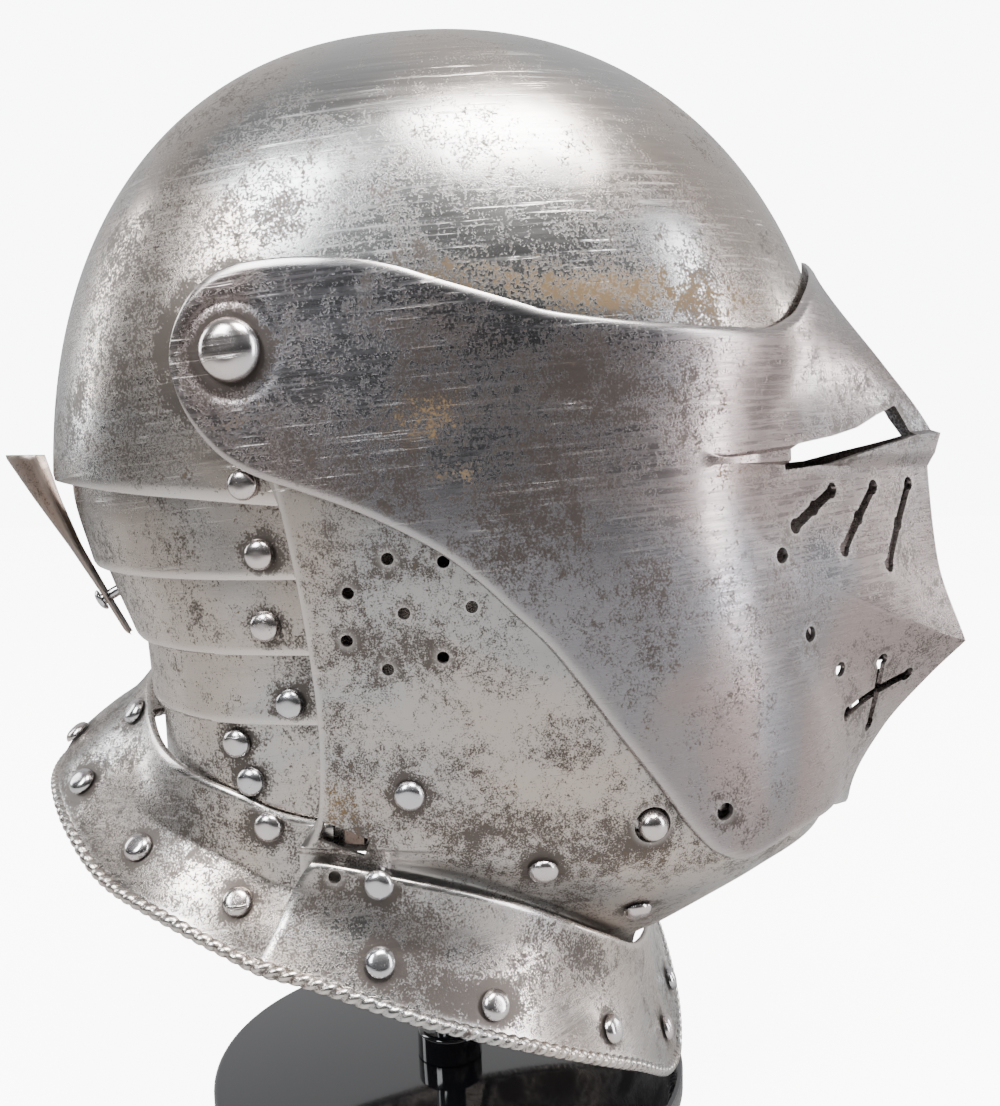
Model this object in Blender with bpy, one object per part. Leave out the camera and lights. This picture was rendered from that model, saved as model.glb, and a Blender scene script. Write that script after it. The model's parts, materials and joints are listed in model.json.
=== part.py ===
"""Close helmet of polished steel on a plain disc stand.

The bowl is widest at the temple pivots. Every plate below it is a shell worked out from
sections round one upright axis through the widest point, and nested plates stand one
layer (a plate and a running gap) further in or out. Lengths are in millimetres and are
turned to metres when a mesh is made. The helmet faces -Y, its right side is -X, and the
origin lies on the ground under the middle of the whole.
"""

import math

import bmesh
import bpy
import numpy as np
from mathutils import Vector

MM = 0.001

# Plate and fits
PLATE = 1.5
RUNNING_GAP = 0.35
SEAT_GAP = 0.3
LAYER = PLATE + RUNNING_GAP

# The whole helmet
HALF_WIDTH = 97.0
HELMET_LENGTH = 232.8
HELMET_HEIGHT = 312.0
RIM_CLEARANCE = 14.0
WIDEST_Y = 0.146048 * HELMET_LENGTH
PIVOT_Y = 0.133162 * HELMET_LENGTH
PIVOT_SHARE = 0.693
SECTION_POWER = 2.3
BACK_POWER = 2.15

# Rolled rims of the gorget plates
ROLL_RADIUS = 1.9

# Rivets and holes
TEMPLE_RIVET_RADIUS = 7.6
TEMPLE_RIVET_RISE = 4.6
TEMPLE_SHANK_RADIUS = 3.0
TEMPLE_SEAT = 0.6
TEMPLE_TAIL_RADIUS = 5.0
RIVET_RADIUS = 3.9
RIVET_RISE = 2.4
RIVET_SEAT = 0.5
SHANK_RADIUS = 1.6
TAIL_RADIUS = 2.6
TAIL_THICKNESS = 1.2
HOLE_CLEARANCE = 0.3
VENT_RADIUS = 1.5
BREATH_END_RADIUS = 2.1
BREATH_BAR_HALF_WIDTH = 1.5
BREATH_HOLE_RADIUS = 2.1
CROSS_END_RADIUS = 2.2
CROSS_BAR_HALF_WIDTH = 1.5
STUD_HOLE_CLEARANCE = 0.5

# Standouts of the visor's plate from the cheek form
LEDGE_STANDOUT = 2.2
LOW_EDGE_EASE = 0.7
VISOR_EASE = 0.15

# How far a cutter runs past the faces it cuts
CUT_REACH = 9.0
HOLE_REACH = 4.0
SLOT_REACH = 5.0

# Visor catch: a leaf spring inside the bevor that carries a button and a stud
LEAF_GAP = 1.4
LEAF_THICKNESS = 1.2
LEAF_HALF_WIDTH = 4.0
BUTTON_RADIUS = 3.9
BUTTON_RISE = 2.8
BUTTON_LIFT = 0.6
STUD_RADIUS = 1.9
CATCH_CLEARANCE = 0.9
CATCH_SEAT = 0.5

# Running gaps under the heads of the plates' pivots
NAPE_PIVOT_GAP = 0.6
GORGET_PIVOT_SEAT = 1.3
GORGET_PIVOT_PLAY = 1.6

# Lock staple
STAPLE_HALF_LENGTH = 2.5
STAPLE_HALF_HEIGHT = 1.9

# Plume holder
HOLDER_PLATE = 1.2
HOLDER_RIVET_RADIUS = 3.2
HOLDER_RIVET_RISE = 1.8
HOLDER_RIVET_GRIP = 7.6

# Stand
STAND_RADIUS = 76.2
STAND_THICKNESS = 8.0
STAND_EDGE_RADIUS = 1.5
STAND_Y = 7.5
POST_RADIUS = 5.0
POST_FOOT_RADIUS = 10.5
POST_FOOT_HEIGHT = 9.0
POST_FOOT_EDGE = 1.5
POST_PAD_RADIUS = 20.0
POST_PAD_THICKNESS = 5.0
POST_PAD_RISE = 3.1
POST_CROWN_GAP = 0.5

# Side profile of the bowl, as shares of the helmet's length and height: a rounded curve
# about (centre_y, centre_z) with its own reach to the front, back and crown.
BOWL_CENTRE_Y = 0.011598 * HELMET_LENGTH
BOWL_POLE_Y = 0.060137 * HELMET_LENGTH
BOWL_CENTRE_SHARE = 0.540
BOWL_FRONT_SHARE = 0.5133
BOWL_BACK_SHARE = 0.4867
BOWL_PROFILE_POWER = 2.24

# Cheek form under the bevor. Heights are shares of HELMET_HEIGHT at the side and at the
# front, half widths are shares of HALF_WIDTH, front reaches are shares of HELMET_LENGTH.
CHEEK_ROWS = (
    # label, side height, front height, half width, front reach
    (0.795, 0.795, 0.795, 1.000, 0.583),
    (0.756, 0.756, 0.756, 1.000, 0.600),
    (0.724, 0.724, 0.724, 1.000, 0.612),
    (0.692, 0.692, 0.692, 1.000, 0.620),
    (0.628, 0.628, 0.628, 1.000, 0.607),
    (0.596, 0.596, 0.596, 1.000, 0.607),
    (0.564, 0.564, 0.564, 0.997, 0.607),
    (0.516, 0.516, 0.516, 0.985, 0.614),
    (0.458, 0.458, 0.458, 0.962, 0.626),
    (0.401, 0.401, 0.401, 0.938, 0.636),
    (0.340, 0.340, 0.340, 0.914, 0.639),
    (0.301, 0.301, 0.301, 0.902, 0.631),
    (0.266, 0.300, 0.266, 0.896, 0.612),
    (0.228, 0.297, 0.228, 0.893, 0.552),
    (0.189, 0.294, 0.189, 0.890, 0.480),
    (0.154, 0.291, 0.154, 0.890, 0.414),
    (0.135, 0.286, 0.135, 0.890, 0.376),
    (0.096, 0.268, 0.096, 0.890, 0.363),
)

# Reach of the visor's sharp middle ridge, by height on the ridge.
RIDGE_ROWS = (
    # height, reach
    (0.795, 0.600),
    (0.772, 0.616),
    (0.686, 0.700),
    (0.644, 0.741),
    (0.622, 0.759),
    (0.602, 0.752),
    (0.574, 0.755),
    (0.502, 0.767),
    (0.425, 0.8015),
    (0.391, 0.757),
    (0.340, 0.701),
    (0.282, 0.662),
    (0.263, 0.657),
)

# How far each ridge height climbs or drops by the time its line reaches the cheek.
SLANT_ROWS = (
    # height, climb
    (0.795, 0.0),
    (0.772, 0.0),
    (0.644, -0.026),
    (0.622, -0.019),
    (0.574, 0.029),
    (0.425, 0.157),
    (0.340, 0.051),
    (0.282, 0.0),
    (0.263, 0.0),
)
SLANT_ANGLE = math.radians(33)
SLANT_FADE_START_ANGLE = math.radians(30)
SLANT_FADE_SPAN_ANGLE = math.radians(7)
CREASE_SHARE = 0.425
LEDGE_LOW_SHARE = 0.603
LEDGE_HIGH_SHARE = 0.622
LEDGE_BEVEL_SHARE = 0.012

# Visor outline by angle from the front: upper edge and lower edge heights.
VISOR_OUTLINE = (
    # degrees, upper, lower
    (0.0, 0.785, 0.265),
    (5.0, 0.772, 0.275),
    (10.0, 0.759, 0.286),
    (15.0, 0.741, 0.287),
    (20.0, 0.719, 0.283),
    (26.0, 0.706, 0.272),
    (30.0, 0.706, 0.284),
    (33.0, 0.706, 0.306),
    (38.0, 0.707, 0.356),
    (42.0, 0.709, 0.394),
    (46.0, 0.712, 0.433),
    (50.0, 0.716, 0.467),
    (54.0, 0.724, 0.493),
    (58.0, 0.732, 0.518),
    (62.0, 0.740, 0.538),
    (67.0, 0.750, 0.556),
    (73.0, 0.757, 0.573),
    (80.0, 0.759, 0.588),
    (86.0, 0.757, 0.600),
    (90.0, 0.751, 0.613),
    (93.0, 0.740, 0.630),
    (95.5, 0.722, 0.652),
    (96.7, 0.706, 0.672),
    (97.1, 0.692, 0.688),
)

# Bevor: upper edge by share of the way from its rear edge to the chin, and its rear edge.
BEVOR_UPPER = (
    # share of the way, height
    (0.00, 0.743),
    (0.10, 0.734),
    (0.20, 0.690),
    (0.30, 0.620),
    (0.40, 0.548),
    (0.55, 0.462),
    (0.70, 0.398),
    (0.85, 0.360),
    (1.00, 0.346),
)
BEVOR_LOWER_SHARE = 0.100
BEVOR_REAR_ANGLE = math.radians(84)
BEVOR_REAR = (
    # height label, distance in front of the pivot as a share of the helmet's length
    (0.743, 0.020),
    (0.733, -0.018),
    (0.712, -0.045),
    (0.690, -0.052),
    (0.662, -0.045),
    (0.638, -0.022),
    (0.618, 0.008),
    (0.596, 0.033),
    (0.580, 0.039),
    (0.484, 0.058),
    (0.404, 0.064),
    (0.335, 0.058),
    (0.295, 0.034),
    (0.266, 0.030),
    (0.100, 0.030),
)

# Nape plates: hidden upper edge, lower edge at the back and at the side, then half width
# and back reach of the outer face at the top, where the plate above ends, and the bottom.
NAPE_ROWS = (
    # name, top, low back, low side, half widths, back reaches
    ("lame_1", 0.622, 0.526, 0.518, (0.968, 0.965, 0.956), (0.3340, 0.3380, 0.3115)),
    ("lame_2", 0.561, 0.465, 0.457, (0.935, 0.933, 0.926), (0.3080, 0.3000, 0.2530)),
    ("lame_3", 0.503, 0.415, 0.399, (0.905, 0.903, 0.896), (0.2530, 0.2440, 0.2360)),
    ("neck_plate", 0.443, 0.358, 0.292, (0.876, 0.870, 0.858), (0.2270, 0.2250, 0.2230)),
)
NAPE_EMERGE_SHARE = 0.30
NAPE_FRONT_ANGLE = math.radians(71)

# Reach of a nape or rear gorget section past the side, which the bevor hides.
OPEN_REACH_SHARE = 0.60

# Lower edge of the bowl by angle from the front.
BOWL_EDGE = (
    # degrees, height
    (0.0, 0.694),
    (45.0, 0.694),
    (58.0, 0.706),
    (65.0, 0.714),
    (71.0, 0.690),
    (77.0, 0.645),
    (84.0, 0.588),
    (90.0, 0.575),
    (110.0, 0.583),
    (140.0, 0.597),
    (180.0, 0.601),
)

# Front gorget plate: upper edge and rim heights by angle, then its flare.
FRONT_GORGET_EDGES = (
    # degrees, upper, rim
    (0.0, 0.132, 0.008),
    (15.0, 0.146, 0.030),
    (30.0, 0.186, 0.078),
    (50.0, 0.244, 0.138),
    (66.0, 0.274, 0.178),
    (80.0, 0.291, 0.210),
    (90.0, 0.296, 0.226),
)
FRONT_GORGET_FLARE = (
    # share of the way down, half width, front reach
    (0.00, 0.949, 0.398),
    (0.25, 0.955, 0.402),
    (0.50, 0.972, 0.410),
    (0.75, 1.006, 0.422),
    (1.00, 1.046, 0.434),
)
FRONT_GORGET_REAR = (
    # share of the way down, degrees from the front
    (0.0, 81.0),
    (0.12, 82.5),
    (1.0, 88.0),
)

# Rear gorget plate: upper edge and rim heights by angle from the front, then its flare.
REAR_GORGET_EDGES = (
    # degrees, upper, rim
    (78.0, 0.316, 0.202),
    (88.0, 0.326, 0.211),
    (95.0, 0.340, 0.227),
    (105.0, 0.352, 0.247),
    (118.0, 0.368, 0.266),
    (130.0, 0.392, 0.296),
    (141.0, 0.412, 0.316),
    (160.0, 0.420, 0.323),
    (180.0, 0.420, 0.325),
)
REAR_GORGET_FLARE = (
    # share of the way down, half width, back reach
    (0.00, 0.8840, 0.2485),
    (0.30, 0.8830, 0.2860),
    (0.50, 0.8830, 0.3260),
    (0.64, 0.908, 0.3505),
    (0.80, 0.950, 0.3735),
    (1.00, 0.992, 0.3865),
)

# Sight, breath slots and holes of the visor, by angle from the front and height on the
# ridge, both sides alike.
SIGHT = (
    # degrees, ridge height
    (3.0, 0.650),
    (6.5, 0.643),
    (10.0, 0.634),
    (14.0, 0.629),
    (19.0, 0.626),
    (22.0, 0.622),
    (21.5, 0.578),
    (18.2, 0.587),
    (14.6, 0.5945),
    (11.0, 0.6065),
    (6.5, 0.6155),
    (3.2, 0.622),
)
BREATH_SLOTS = (
    # foot, then head
    ((20.2, 0.487), (14.3, 0.556)),
    ((13.2, 0.484), (8.0, 0.567)),
    ((7.0, 0.484), (2.9, 0.573)),
)
BREATH_HOLES = ((22.7, 0.4235), (18.5, 0.394), (13.4, 0.381))
CROSS_BARS = (((7.4, 0.394), (4.8, 0.345)), ((3.0, 0.389), (10.9, 0.354)))
STUD_HOLE = (30.1, 0.307)

# Vents, slot and rivets of the bevor, by angle from the front and height label.
BEVOR_VENTS = (
    (68.6, 0.535),
    (61.7, 0.532),
    (73.9, 0.509),
    (66.6, 0.493),
    (58.3, 0.497),
    (74.3, 0.472),
    (61.7, 0.458),
    (68.8, 0.449),
)
BEVOR_SLOT = (
    # distance in front of the widest section as a share of the length, height
    (-0.074742, 0.324359),
    (-0.124570, 0.309615),
    (-0.115120, 0.294231),
    (-0.067869, 0.308333),
)
BEVOR_RIVETS = (("upper", 66.1, 0.347), ("chin", 30.3, 0.178))
CATCH_RIVET = (48.3, 0.238)
CATCH_BUTTON = (36.9, 0.3157)
CATCH_STUD = (29.1, 0.3242)

# Pivots of the nape plates and the front gorget and the lock staple: distance behind the
# widest section as a share of the length, and height.
NAPE_PIVOTS = (
    (-0.012887, 0.592949),
    (-0.021478, 0.538462),
    (-0.019330, 0.480769),
    (-0.038660, 0.416667),
)
GORGET_PIVOT = (-0.134450, 0.275641)
LOCK_STAPLE = (-0.103093, 0.308654)

# Domed rivets by angle from the front and share of the way down their plate.
NECK_RIVETS = (("upper", 94.7, 0.41), ("lower", 92.4, 0.62))
REAR_GORGET_RIVETS = (
    ("corner", 89.0, 0.12),
    ("top", 133.0, 0.17),
    ("rim_1", 93.8, 0.727),
    ("rim_2", 113.5, 0.715),
    ("rim_3", 132.5, 0.735),
    ("rim_4", 152.0, 0.71),
)
FRONT_GORGET_RIVETS = (
    ("rim_1", 71.2, 0.714),
    ("rim_2", 55.3, 0.80),
    ("rim_3", 34.0, 0.782),
    ("rim_4", 9.5, 0.755),
)
FRONT_GORGET_HOLE = (77.5, 0.10)

# Plume holder on the right of the nape: its outermost line from the top lip to the foot,
# then how deep and how wide its half round is there.
HOLDER_SIDE_SHARE = -0.536082
HOLDER_OUTWARD = (-0.44, 0.90, 0.0)
HOLDER_ROWS = (
    # distance behind the widest section, height, depth, half width
    (0.380155, 0.620192, 9.3, 12.5),
    (0.343213, 0.580128, 5.9, 10.2),
    (0.298969, 0.535256, 2.6, 7.4),
    (0.258591, 0.490385, 1.6, 5.4),
    (0.229381, 0.455128, 1.5, 4.6),
)
HOLDER_RIVET_SHARE = 0.487179

STEEL = ("polished_steel", (0.60, 0.57, 0.56, 1.0), 0.28, 1.0)
RIVET_STEEL = ("rivet_steel", (0.68, 0.66, 0.64, 1.0), 0.22, 1.0)
OLD_IRON = ("old_iron", (0.16, 0.12, 0.10, 1.0), 0.55, 1.0)
BLACK_GLOSS = ("black_gloss", (0.012, 0.012, 0.014, 1.0), 0.06, 0.0)


def height(share):
    """Height above the ground of a share of the helmet's height."""
    return RIM_CLEARANCE + HELMET_HEIGHT * np.asarray(share, float)


def smooth(value, keys, values):
    """Monotone cubic through the keys, held level past both ends."""
    order = np.argsort(keys)
    keys = np.asarray(keys, float)[order]
    values = np.asarray(values, float)[order]
    step = np.diff(keys)
    slope = np.diff(values) / step
    tangent = np.concatenate([slope[:1], np.zeros(len(keys) - 2), slope[-1:]])
    for i in range(1, len(keys) - 1):
        if slope[i - 1] * slope[i] > 0:
            before = 2 * step[i] + step[i - 1]
            after = step[i] + 2 * step[i - 1]
            tangent[i] = (before + after) / (before / slope[i - 1] + after / slope[i])
    value = np.clip(value, keys[0], keys[-1])
    i = np.clip(np.searchsorted(keys, value) - 1, 0, len(keys) - 2)
    t = (value - keys[i]) / step[i]
    return (
        (1 + 2 * t) * (1 - t) ** 2 * values[i]
        + t * (1 - t) ** 2 * step[i] * tangent[i]
        + t * t * (3 - 2 * t) * values[i + 1]
        + t * t * (t - 1) * step[i] * tangent[i + 1]
    )


def behind_widest(share):
    """The y of a share of the helmet's length behind the widest section."""
    return WIDEST_Y + HELMET_LENGTH * share


def column(rows, index):
    """One column of a table."""
    return [row[index] for row in rows]


def at_radius(angle, radius, z):
    """Points at a distance from the upright axis, by angle from the front."""
    return np.stack(
        [radius * np.sin(angle), WIDEST_Y - radius * np.cos(angle), z + 0 * radius], -1
    )


def section_radius(angle, half_width, reach, power):
    """Rounded section: half_width to the side and reach to the front or back."""
    side = np.abs(np.sin(angle)) / half_width
    along = np.abs(np.cos(angle)) / reach
    return (side**power + along**power) ** (-1 / power)


# Forms


def bowl_field(points, inset):
    """Below 1 inside the bowl's outer face drawn in by inset, above 1 outside it."""
    dy = points[..., 1] - WIDEST_Y
    dz = points[..., 2] - height(PIVOT_SHARE)
    distance = np.hypot(dy, dz)
    direction = np.arctan2(dz, dy)
    centre_z = height(BOWL_CENTRE_SHARE)
    crown = HELMET_HEIGHT + RIM_CLEARANCE - centre_z
    near = np.zeros_like(distance)
    far = near + HELMET_HEIGHT
    for _ in range(30):
        middle = (near + far) / 2
        y = WIDEST_Y + middle * np.cos(direction) - BOWL_CENTRE_Y
        z = height(PIVOT_SHARE) + middle * np.sin(direction) - centre_z
        reach = HELMET_LENGTH * np.where(y < 0, BOWL_FRONT_SHARE, BOWL_BACK_SHARE)
        inside = (np.abs(y) / reach) ** BOWL_PROFILE_POWER + (
            np.abs(z) / crown
        ) ** BOWL_PROFILE_POWER < 1
        near = np.where(inside, middle, near)
        far = np.where(inside, far, middle)
    width = np.abs(points[..., 0]) / (HALF_WIDTH - inset)
    return width**SECTION_POWER + (distance / (near - inset)) ** SECTION_POWER


def bowl_face(angle, edge, rows, inset):
    """The bowl's face from its lower edge (row 0) to the crown (last row)."""
    centre = np.array([0.0, BOWL_POLE_Y, height(PIVOT_SHARE)])
    low = np.full_like(angle, -0.9)
    high = np.full_like(angle, 1.2)

    def ray(angle, tilt):
        way = np.stack(
            [
                np.sin(angle) * np.cos(tilt),
                -np.cos(angle) * np.cos(tilt),
                np.sin(tilt) + 0 * angle,
            ],
            -1,
        )
        near = np.zeros(np.broadcast(angle, tilt).shape)
        far = near + 2 * HALF_WIDTH + HELMET_LENGTH / 2
        for _ in range(26):
            middle = (near + far) / 2
            inside = bowl_field(centre + way * middle[..., None], inset) < 1
            near = np.where(inside, middle, near)
            far = np.where(inside, far, middle)
        return centre + way * near[..., None]

    for _ in range(22):
        tilt = (low + high) / 2
        under = ray(angle, tilt)[..., 2] < edge
        low = np.where(under, tilt, low)
        high = np.where(under, high, tilt)
    share = np.linspace(0, 1, rows)[None, :]
    tilt = low[:, None] + (math.pi / 2 - low[:, None]) * share
    return ray(np.repeat(angle[:, None], rows, axis=1), tilt)


def cheek_sizes(label, layer):
    """Half width, front reach and the two heights of the cheek form at a height label."""
    labels = column(CHEEK_ROWS, 0)
    side = height(smooth(label, labels, column(CHEEK_ROWS, 1)))
    front = height(smooth(label, labels, column(CHEEK_ROWS, 2)))
    half_width = HALF_WIDTH * smooth(label, labels, column(CHEEK_ROWS, 3)) + layer
    reach = HELMET_LENGTH * smooth(label, labels, column(CHEEK_ROWS, 4)) + layer
    return half_width, reach, side, front


def cheek_face(angle, label, layer):
    """The rounded face that the bevor follows, flat behind the pivot."""
    half_width, reach, side, front = cheek_sizes(label, layer)
    radius = section_radius(angle, half_width, reach, SECTION_POWER)
    behind = np.abs(angle) > math.pi / 2
    flat = half_width / np.maximum(np.abs(np.sin(angle)), 0.3)
    radius = np.where(behind, flat, radius)
    mix = np.maximum(np.cos(angle), 0) ** 3
    return at_radius(angle, radius, side + (front - side) * mix)


def slanted(angle, share):
    """Height share of a ridge line away from the ridge, level again on the cheek."""
    away = np.abs(angle)
    run = np.clip(np.tan(np.minimum(away, 1.2)) / math.tan(SLANT_ANGLE), 0, 1)
    fade = np.clip((away - SLANT_FADE_START_ANGLE) / SLANT_FADE_SPAN_ANGLE, 0, 1)
    run = run * (1 - fade * fade * (3 - 2 * fade))
    climb = np.interp(share, column(SLANT_ROWS, 0)[::-1], column(SLANT_ROWS, 1)[::-1])
    return share + climb * run


def unslanted(angle, actual):
    """The ridge height whose line passes this angle at this height share."""
    low = np.zeros(np.broadcast(angle, actual).shape)
    high = low + 1
    for _ in range(30):
        middle = (low + high) / 2
        under = slanted(angle, middle) < actual
        low = np.where(under, middle, low)
        high = np.where(under, high, middle)
    return (low + high) / 2


def visor_face(angle, share, inset):
    """The cheek form two layers out, with straight faces that meet in the ridge."""
    away = np.abs(angle)
    actual = slanted(angle, share)
    ease = LOW_EDGE_EASE * np.clip((0.42 - actual) / 0.1, 0, 1)
    layer = 2 * LAYER + VISOR_EASE - inset + ease
    half_width, reach, _, _ = cheek_sizes(actual, layer)
    ridge = HELMET_LENGTH * np.interp(
        share, column(RIDGE_ROWS, 0)[::-1], column(RIDGE_ROWS, 1)[::-1]
    )
    ridge = np.maximum(ridge - inset * 1.35, reach * 1.00005)
    power = SECTION_POWER
    touch_y = reach * (reach / ridge) ** (1 / (power - 1))
    touch_x = half_width * np.maximum(1 - (touch_y / reach) ** power, 1e-9) ** (1 / power)
    lean = touch_x ** (power - 1) / half_width**power
    straight = 1 / (np.sin(away) * lean + np.cos(away) / ridge)
    rounded = section_radius(angle, half_width, reach, power)
    touch = np.arctan2(touch_x, touch_y)
    radius = np.where(away < touch, straight, rounded)
    flat = half_width / np.maximum(np.sin(away), 0.3)
    radius = np.where(away > math.pi / 2, flat, radius)
    ledge = np.interp(
        share,
        [
            LEDGE_LOW_SHARE - LEDGE_BEVEL_SHARE,
            LEDGE_LOW_SHARE,
            LEDGE_HIGH_SHARE,
            LEDGE_HIGH_SHARE + LEDGE_BEVEL_SHARE / 4,
        ],
        [0, 1, 1, 0],
    )
    fade = np.clip((SLANT_ANGLE - away) / math.radians(6), 0, 1)
    radius = radius + LEDGE_STANDOUT * ledge * fade
    return at_radius(angle, radius, height(actual))


def nape_face(row, angle, share, inset):
    """One nape plate's face: share runs from its hidden top to its lower edge."""
    _, top, low_back, low_side, widths, reaches = row
    toward_back = np.maximum(-np.cos(angle), 0) ** 2
    bottom = low_side + (low_back - low_side) * toward_back
    stops = (0.0, NAPE_EMERGE_SHARE, 1.0)
    half_width = HALF_WIDTH * smooth(share, stops, widths) - inset
    reach = HELMET_LENGTH * smooth(share, stops, reaches) - inset
    front = HELMET_LENGTH * OPEN_REACH_SHARE - inset
    back_radius = section_radius(angle, half_width, reach, BACK_POWER)
    front_radius = section_radius(angle, half_width, front, BACK_POWER)
    radius = np.where(np.cos(angle) < 0, back_radius, front_radius)
    return at_radius(angle, radius, height(top + (bottom - top) * share))


def gorget_face(edges, flare, angle, share, inset, power):
    """A flared gorget plate's face between its upper edge and its rim."""
    degrees = np.degrees(np.abs(angle))
    upper = smooth(degrees, column(edges, 0), column(edges, 1))
    rim = smooth(degrees, column(edges, 0), column(edges, 2))
    stops = column(flare, 0)
    half_width = HALF_WIDTH * smooth(share, stops, column(flare, 1)) - inset
    reach = HELMET_LENGTH * smooth(share, stops, column(flare, 2)) - inset
    radius = section_radius(angle, half_width, reach, power)
    if edges is REAR_GORGET_EDGES:
        ahead = section_radius(angle, half_width, HELMET_LENGTH * OPEN_REACH_SHARE, power)
        radius = np.where(np.cos(angle) < 0, radius, ahead)
    return at_radius(angle, radius, height(upper + (rim - upper) * share))


# Meshes


def material(spec):
    """The named Principled material, made once."""
    name, colour, roughness, metallic = spec
    found = bpy.data.materials.get(name)
    if found:
        return found
    made = bpy.data.materials.new(name)
    made.use_nodes = True
    shader = made.node_tree.nodes["Principled BSDF"]
    shader.inputs["Base Color"].default_value = colour
    shader.inputs["Roughness"].default_value = roughness
    shader.inputs["Metallic"].default_value = metallic
    made.diffuse_color = colour
    return made


def add_object(name, points, faces, finish, origin=(0.0, 0.0, 0.0), smooth_angle=40):
    """A mesh object with its origin at origin and its normals out."""
    mesh = bpy.data.meshes.new(name)
    shifted = (np.asarray(points, float) - np.asarray(origin, float)) * MM
    mesh.from_pydata(shifted.tolist(), [], faces)
    work = bmesh.new()
    work.from_mesh(mesh)
    bmesh.ops.remove_doubles(work, verts=work.verts, dist=1e-6)
    bmesh.ops.recalc_face_normals(work, faces=work.faces)
    if work.calc_volume(signed=True) < 0:
        bmesh.ops.reverse_faces(work, faces=work.faces)
    work.to_mesh(mesh)
    work.free()
    mesh.shade_smooth()
    mesh.set_sharp_from_angle(angle=math.radians(smooth_angle))
    obj = bpy.data.objects.new(name, mesh)
    obj.location = Vector(origin) * MM
    bpy.context.scene.collection.objects.link(obj)
    if finish:
        mesh.materials.append(material(finish))
    return obj


def shell(name, outer, inner, finish, origin, around=False, roll=0.0):
    """A closed plate between two faces, each an array of columns by rows of points.

    With roll, the last row is turned into a rolled rim of that radius.
    """
    loops = [outer]
    if roll:
        last = (outer[:, -1] + inner[:, -1]) / 2
        down = outer[:, -1] - outer[:, -2]
        down /= np.linalg.norm(down, axis=-1, keepdims=True)
        out = outer[:, -1] - inner[:, -1]
        out /= np.linalg.norm(out, axis=-1, keepdims=True)
        out -= down * (out * down).sum(-1, keepdims=True)
        out /= np.linalg.norm(out, axis=-1, keepdims=True)
        start = math.asin(min(0.95, PLATE / 2 / roll))
        turns = np.linspace(math.pi - start - 0.35, -math.pi + start + 0.35, 6)
        centre = last + down * roll * 0.6
        for turn in turns:
            point = centre + roll * (math.cos(turn) * down + math.sin(turn) * out)
            loops.append(point[:, None])
    loops.append(inner[:, ::-1])
    ring = np.concatenate(loops, axis=1)
    columns, count = ring.shape[:2]
    faces = []
    for i in range(columns if around else columns - 1):
        j = (i + 1) % columns
        for k in range(count):
            m = (k + 1) % count
            faces.append(
                (i * count + k, i * count + m, j * count + m, j * count + k)
            )
    if not around:
        rows = outer.shape[1]
        for i in (0, columns - 1):
            base = i * count
            for k in range(rows - 1):
                faces.append(
                    (base + k, base + k + 1, base + count - 2 - k, base + count - 1 - k)
                )
            if roll:
                faces.append(tuple(base + k for k in range(rows - 1, count - rows + 1)))
    return add_object(name, ring.reshape(-1, 3), clean_faces(faces, ring), finish, origin)


def clean_faces(faces, ring):
    """Leaves out faces that a pole or a pointed end closes up."""
    flat = np.round(ring.reshape(-1, 3), 4)
    kept = []
    for face in faces:
        corners = []
        for index in face:
            if not corners or not np.array_equal(flat[index], flat[corners[-1]]):
                corners.append(index)
        if len(corners) > 1 and np.array_equal(flat[corners[0]], flat[corners[-1]]):
            corners.pop()
        if len(corners) > 2:
            kept.append(tuple(corners))
    return kept


def frame_at(point, normal):
    """Two directions across the normal, the first as level as can be."""
    normal = Vector(normal).normalized()
    level = normal.cross(Vector((0, 0, 1)))
    if level.length < 0.1:
        level = Vector((1, 0, 0))
    level.normalize()
    upward = level.cross(normal)
    return np.array(level), np.array(upward), np.array(normal)


def prism(centre, normal, outline, below, above):
    """Points and faces of an outline pushed through along a normal."""
    level, upward, normal = frame_at(centre, normal)
    points = []
    for depth in (-below, above):
        for a, b in outline:
            points.append(np.asarray(centre) + a * level + b * upward + depth * normal)
    count = len(outline)
    faces = [tuple(range(count))[::-1], tuple(range(count, 2 * count))]
    for i in range(count):
        j = (i + 1) % count
        faces.append((i, j, count + j, count + i))
    return points, faces


def circle(radius, sides=12):
    """A closed outline round the origin that holds a circle of this radius."""
    radius = radius / math.cos(math.pi / sides)
    turns = [2 * math.pi * (i + 0.5) / sides for i in range(sides)]
    return [(radius * math.cos(t), radius * math.sin(t)) for t in turns]


def slot_outline(start, end, end_radius, bar, middle=True):
    """A narrow bar from start to end with round holes at both ends and the middle."""
    start = np.asarray(start, float)
    end = np.asarray(end, float)
    length = float(np.linalg.norm(end - start))
    along = (end - start) / length
    across = np.array([-along[1], along[0]])
    bite = math.asin(bar / end_radius)
    stops = [0.0, length / 2, length] if middle else [0.0, length]
    side = []
    for i, stop in enumerate(stops):
        first = math.pi if i == 0 else math.pi - bite
        last = 0.0 if i == len(stops) - 1 else bite
        for turn in np.linspace(first, last, 4):
            side.append((stop + end_radius * math.cos(turn), end_radius * math.sin(turn)))
    other = [(a, -b) for a, b in side[::-1][1:-1]]
    return [tuple(start + along * a + across * b) for a, b in side + other]


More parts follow.
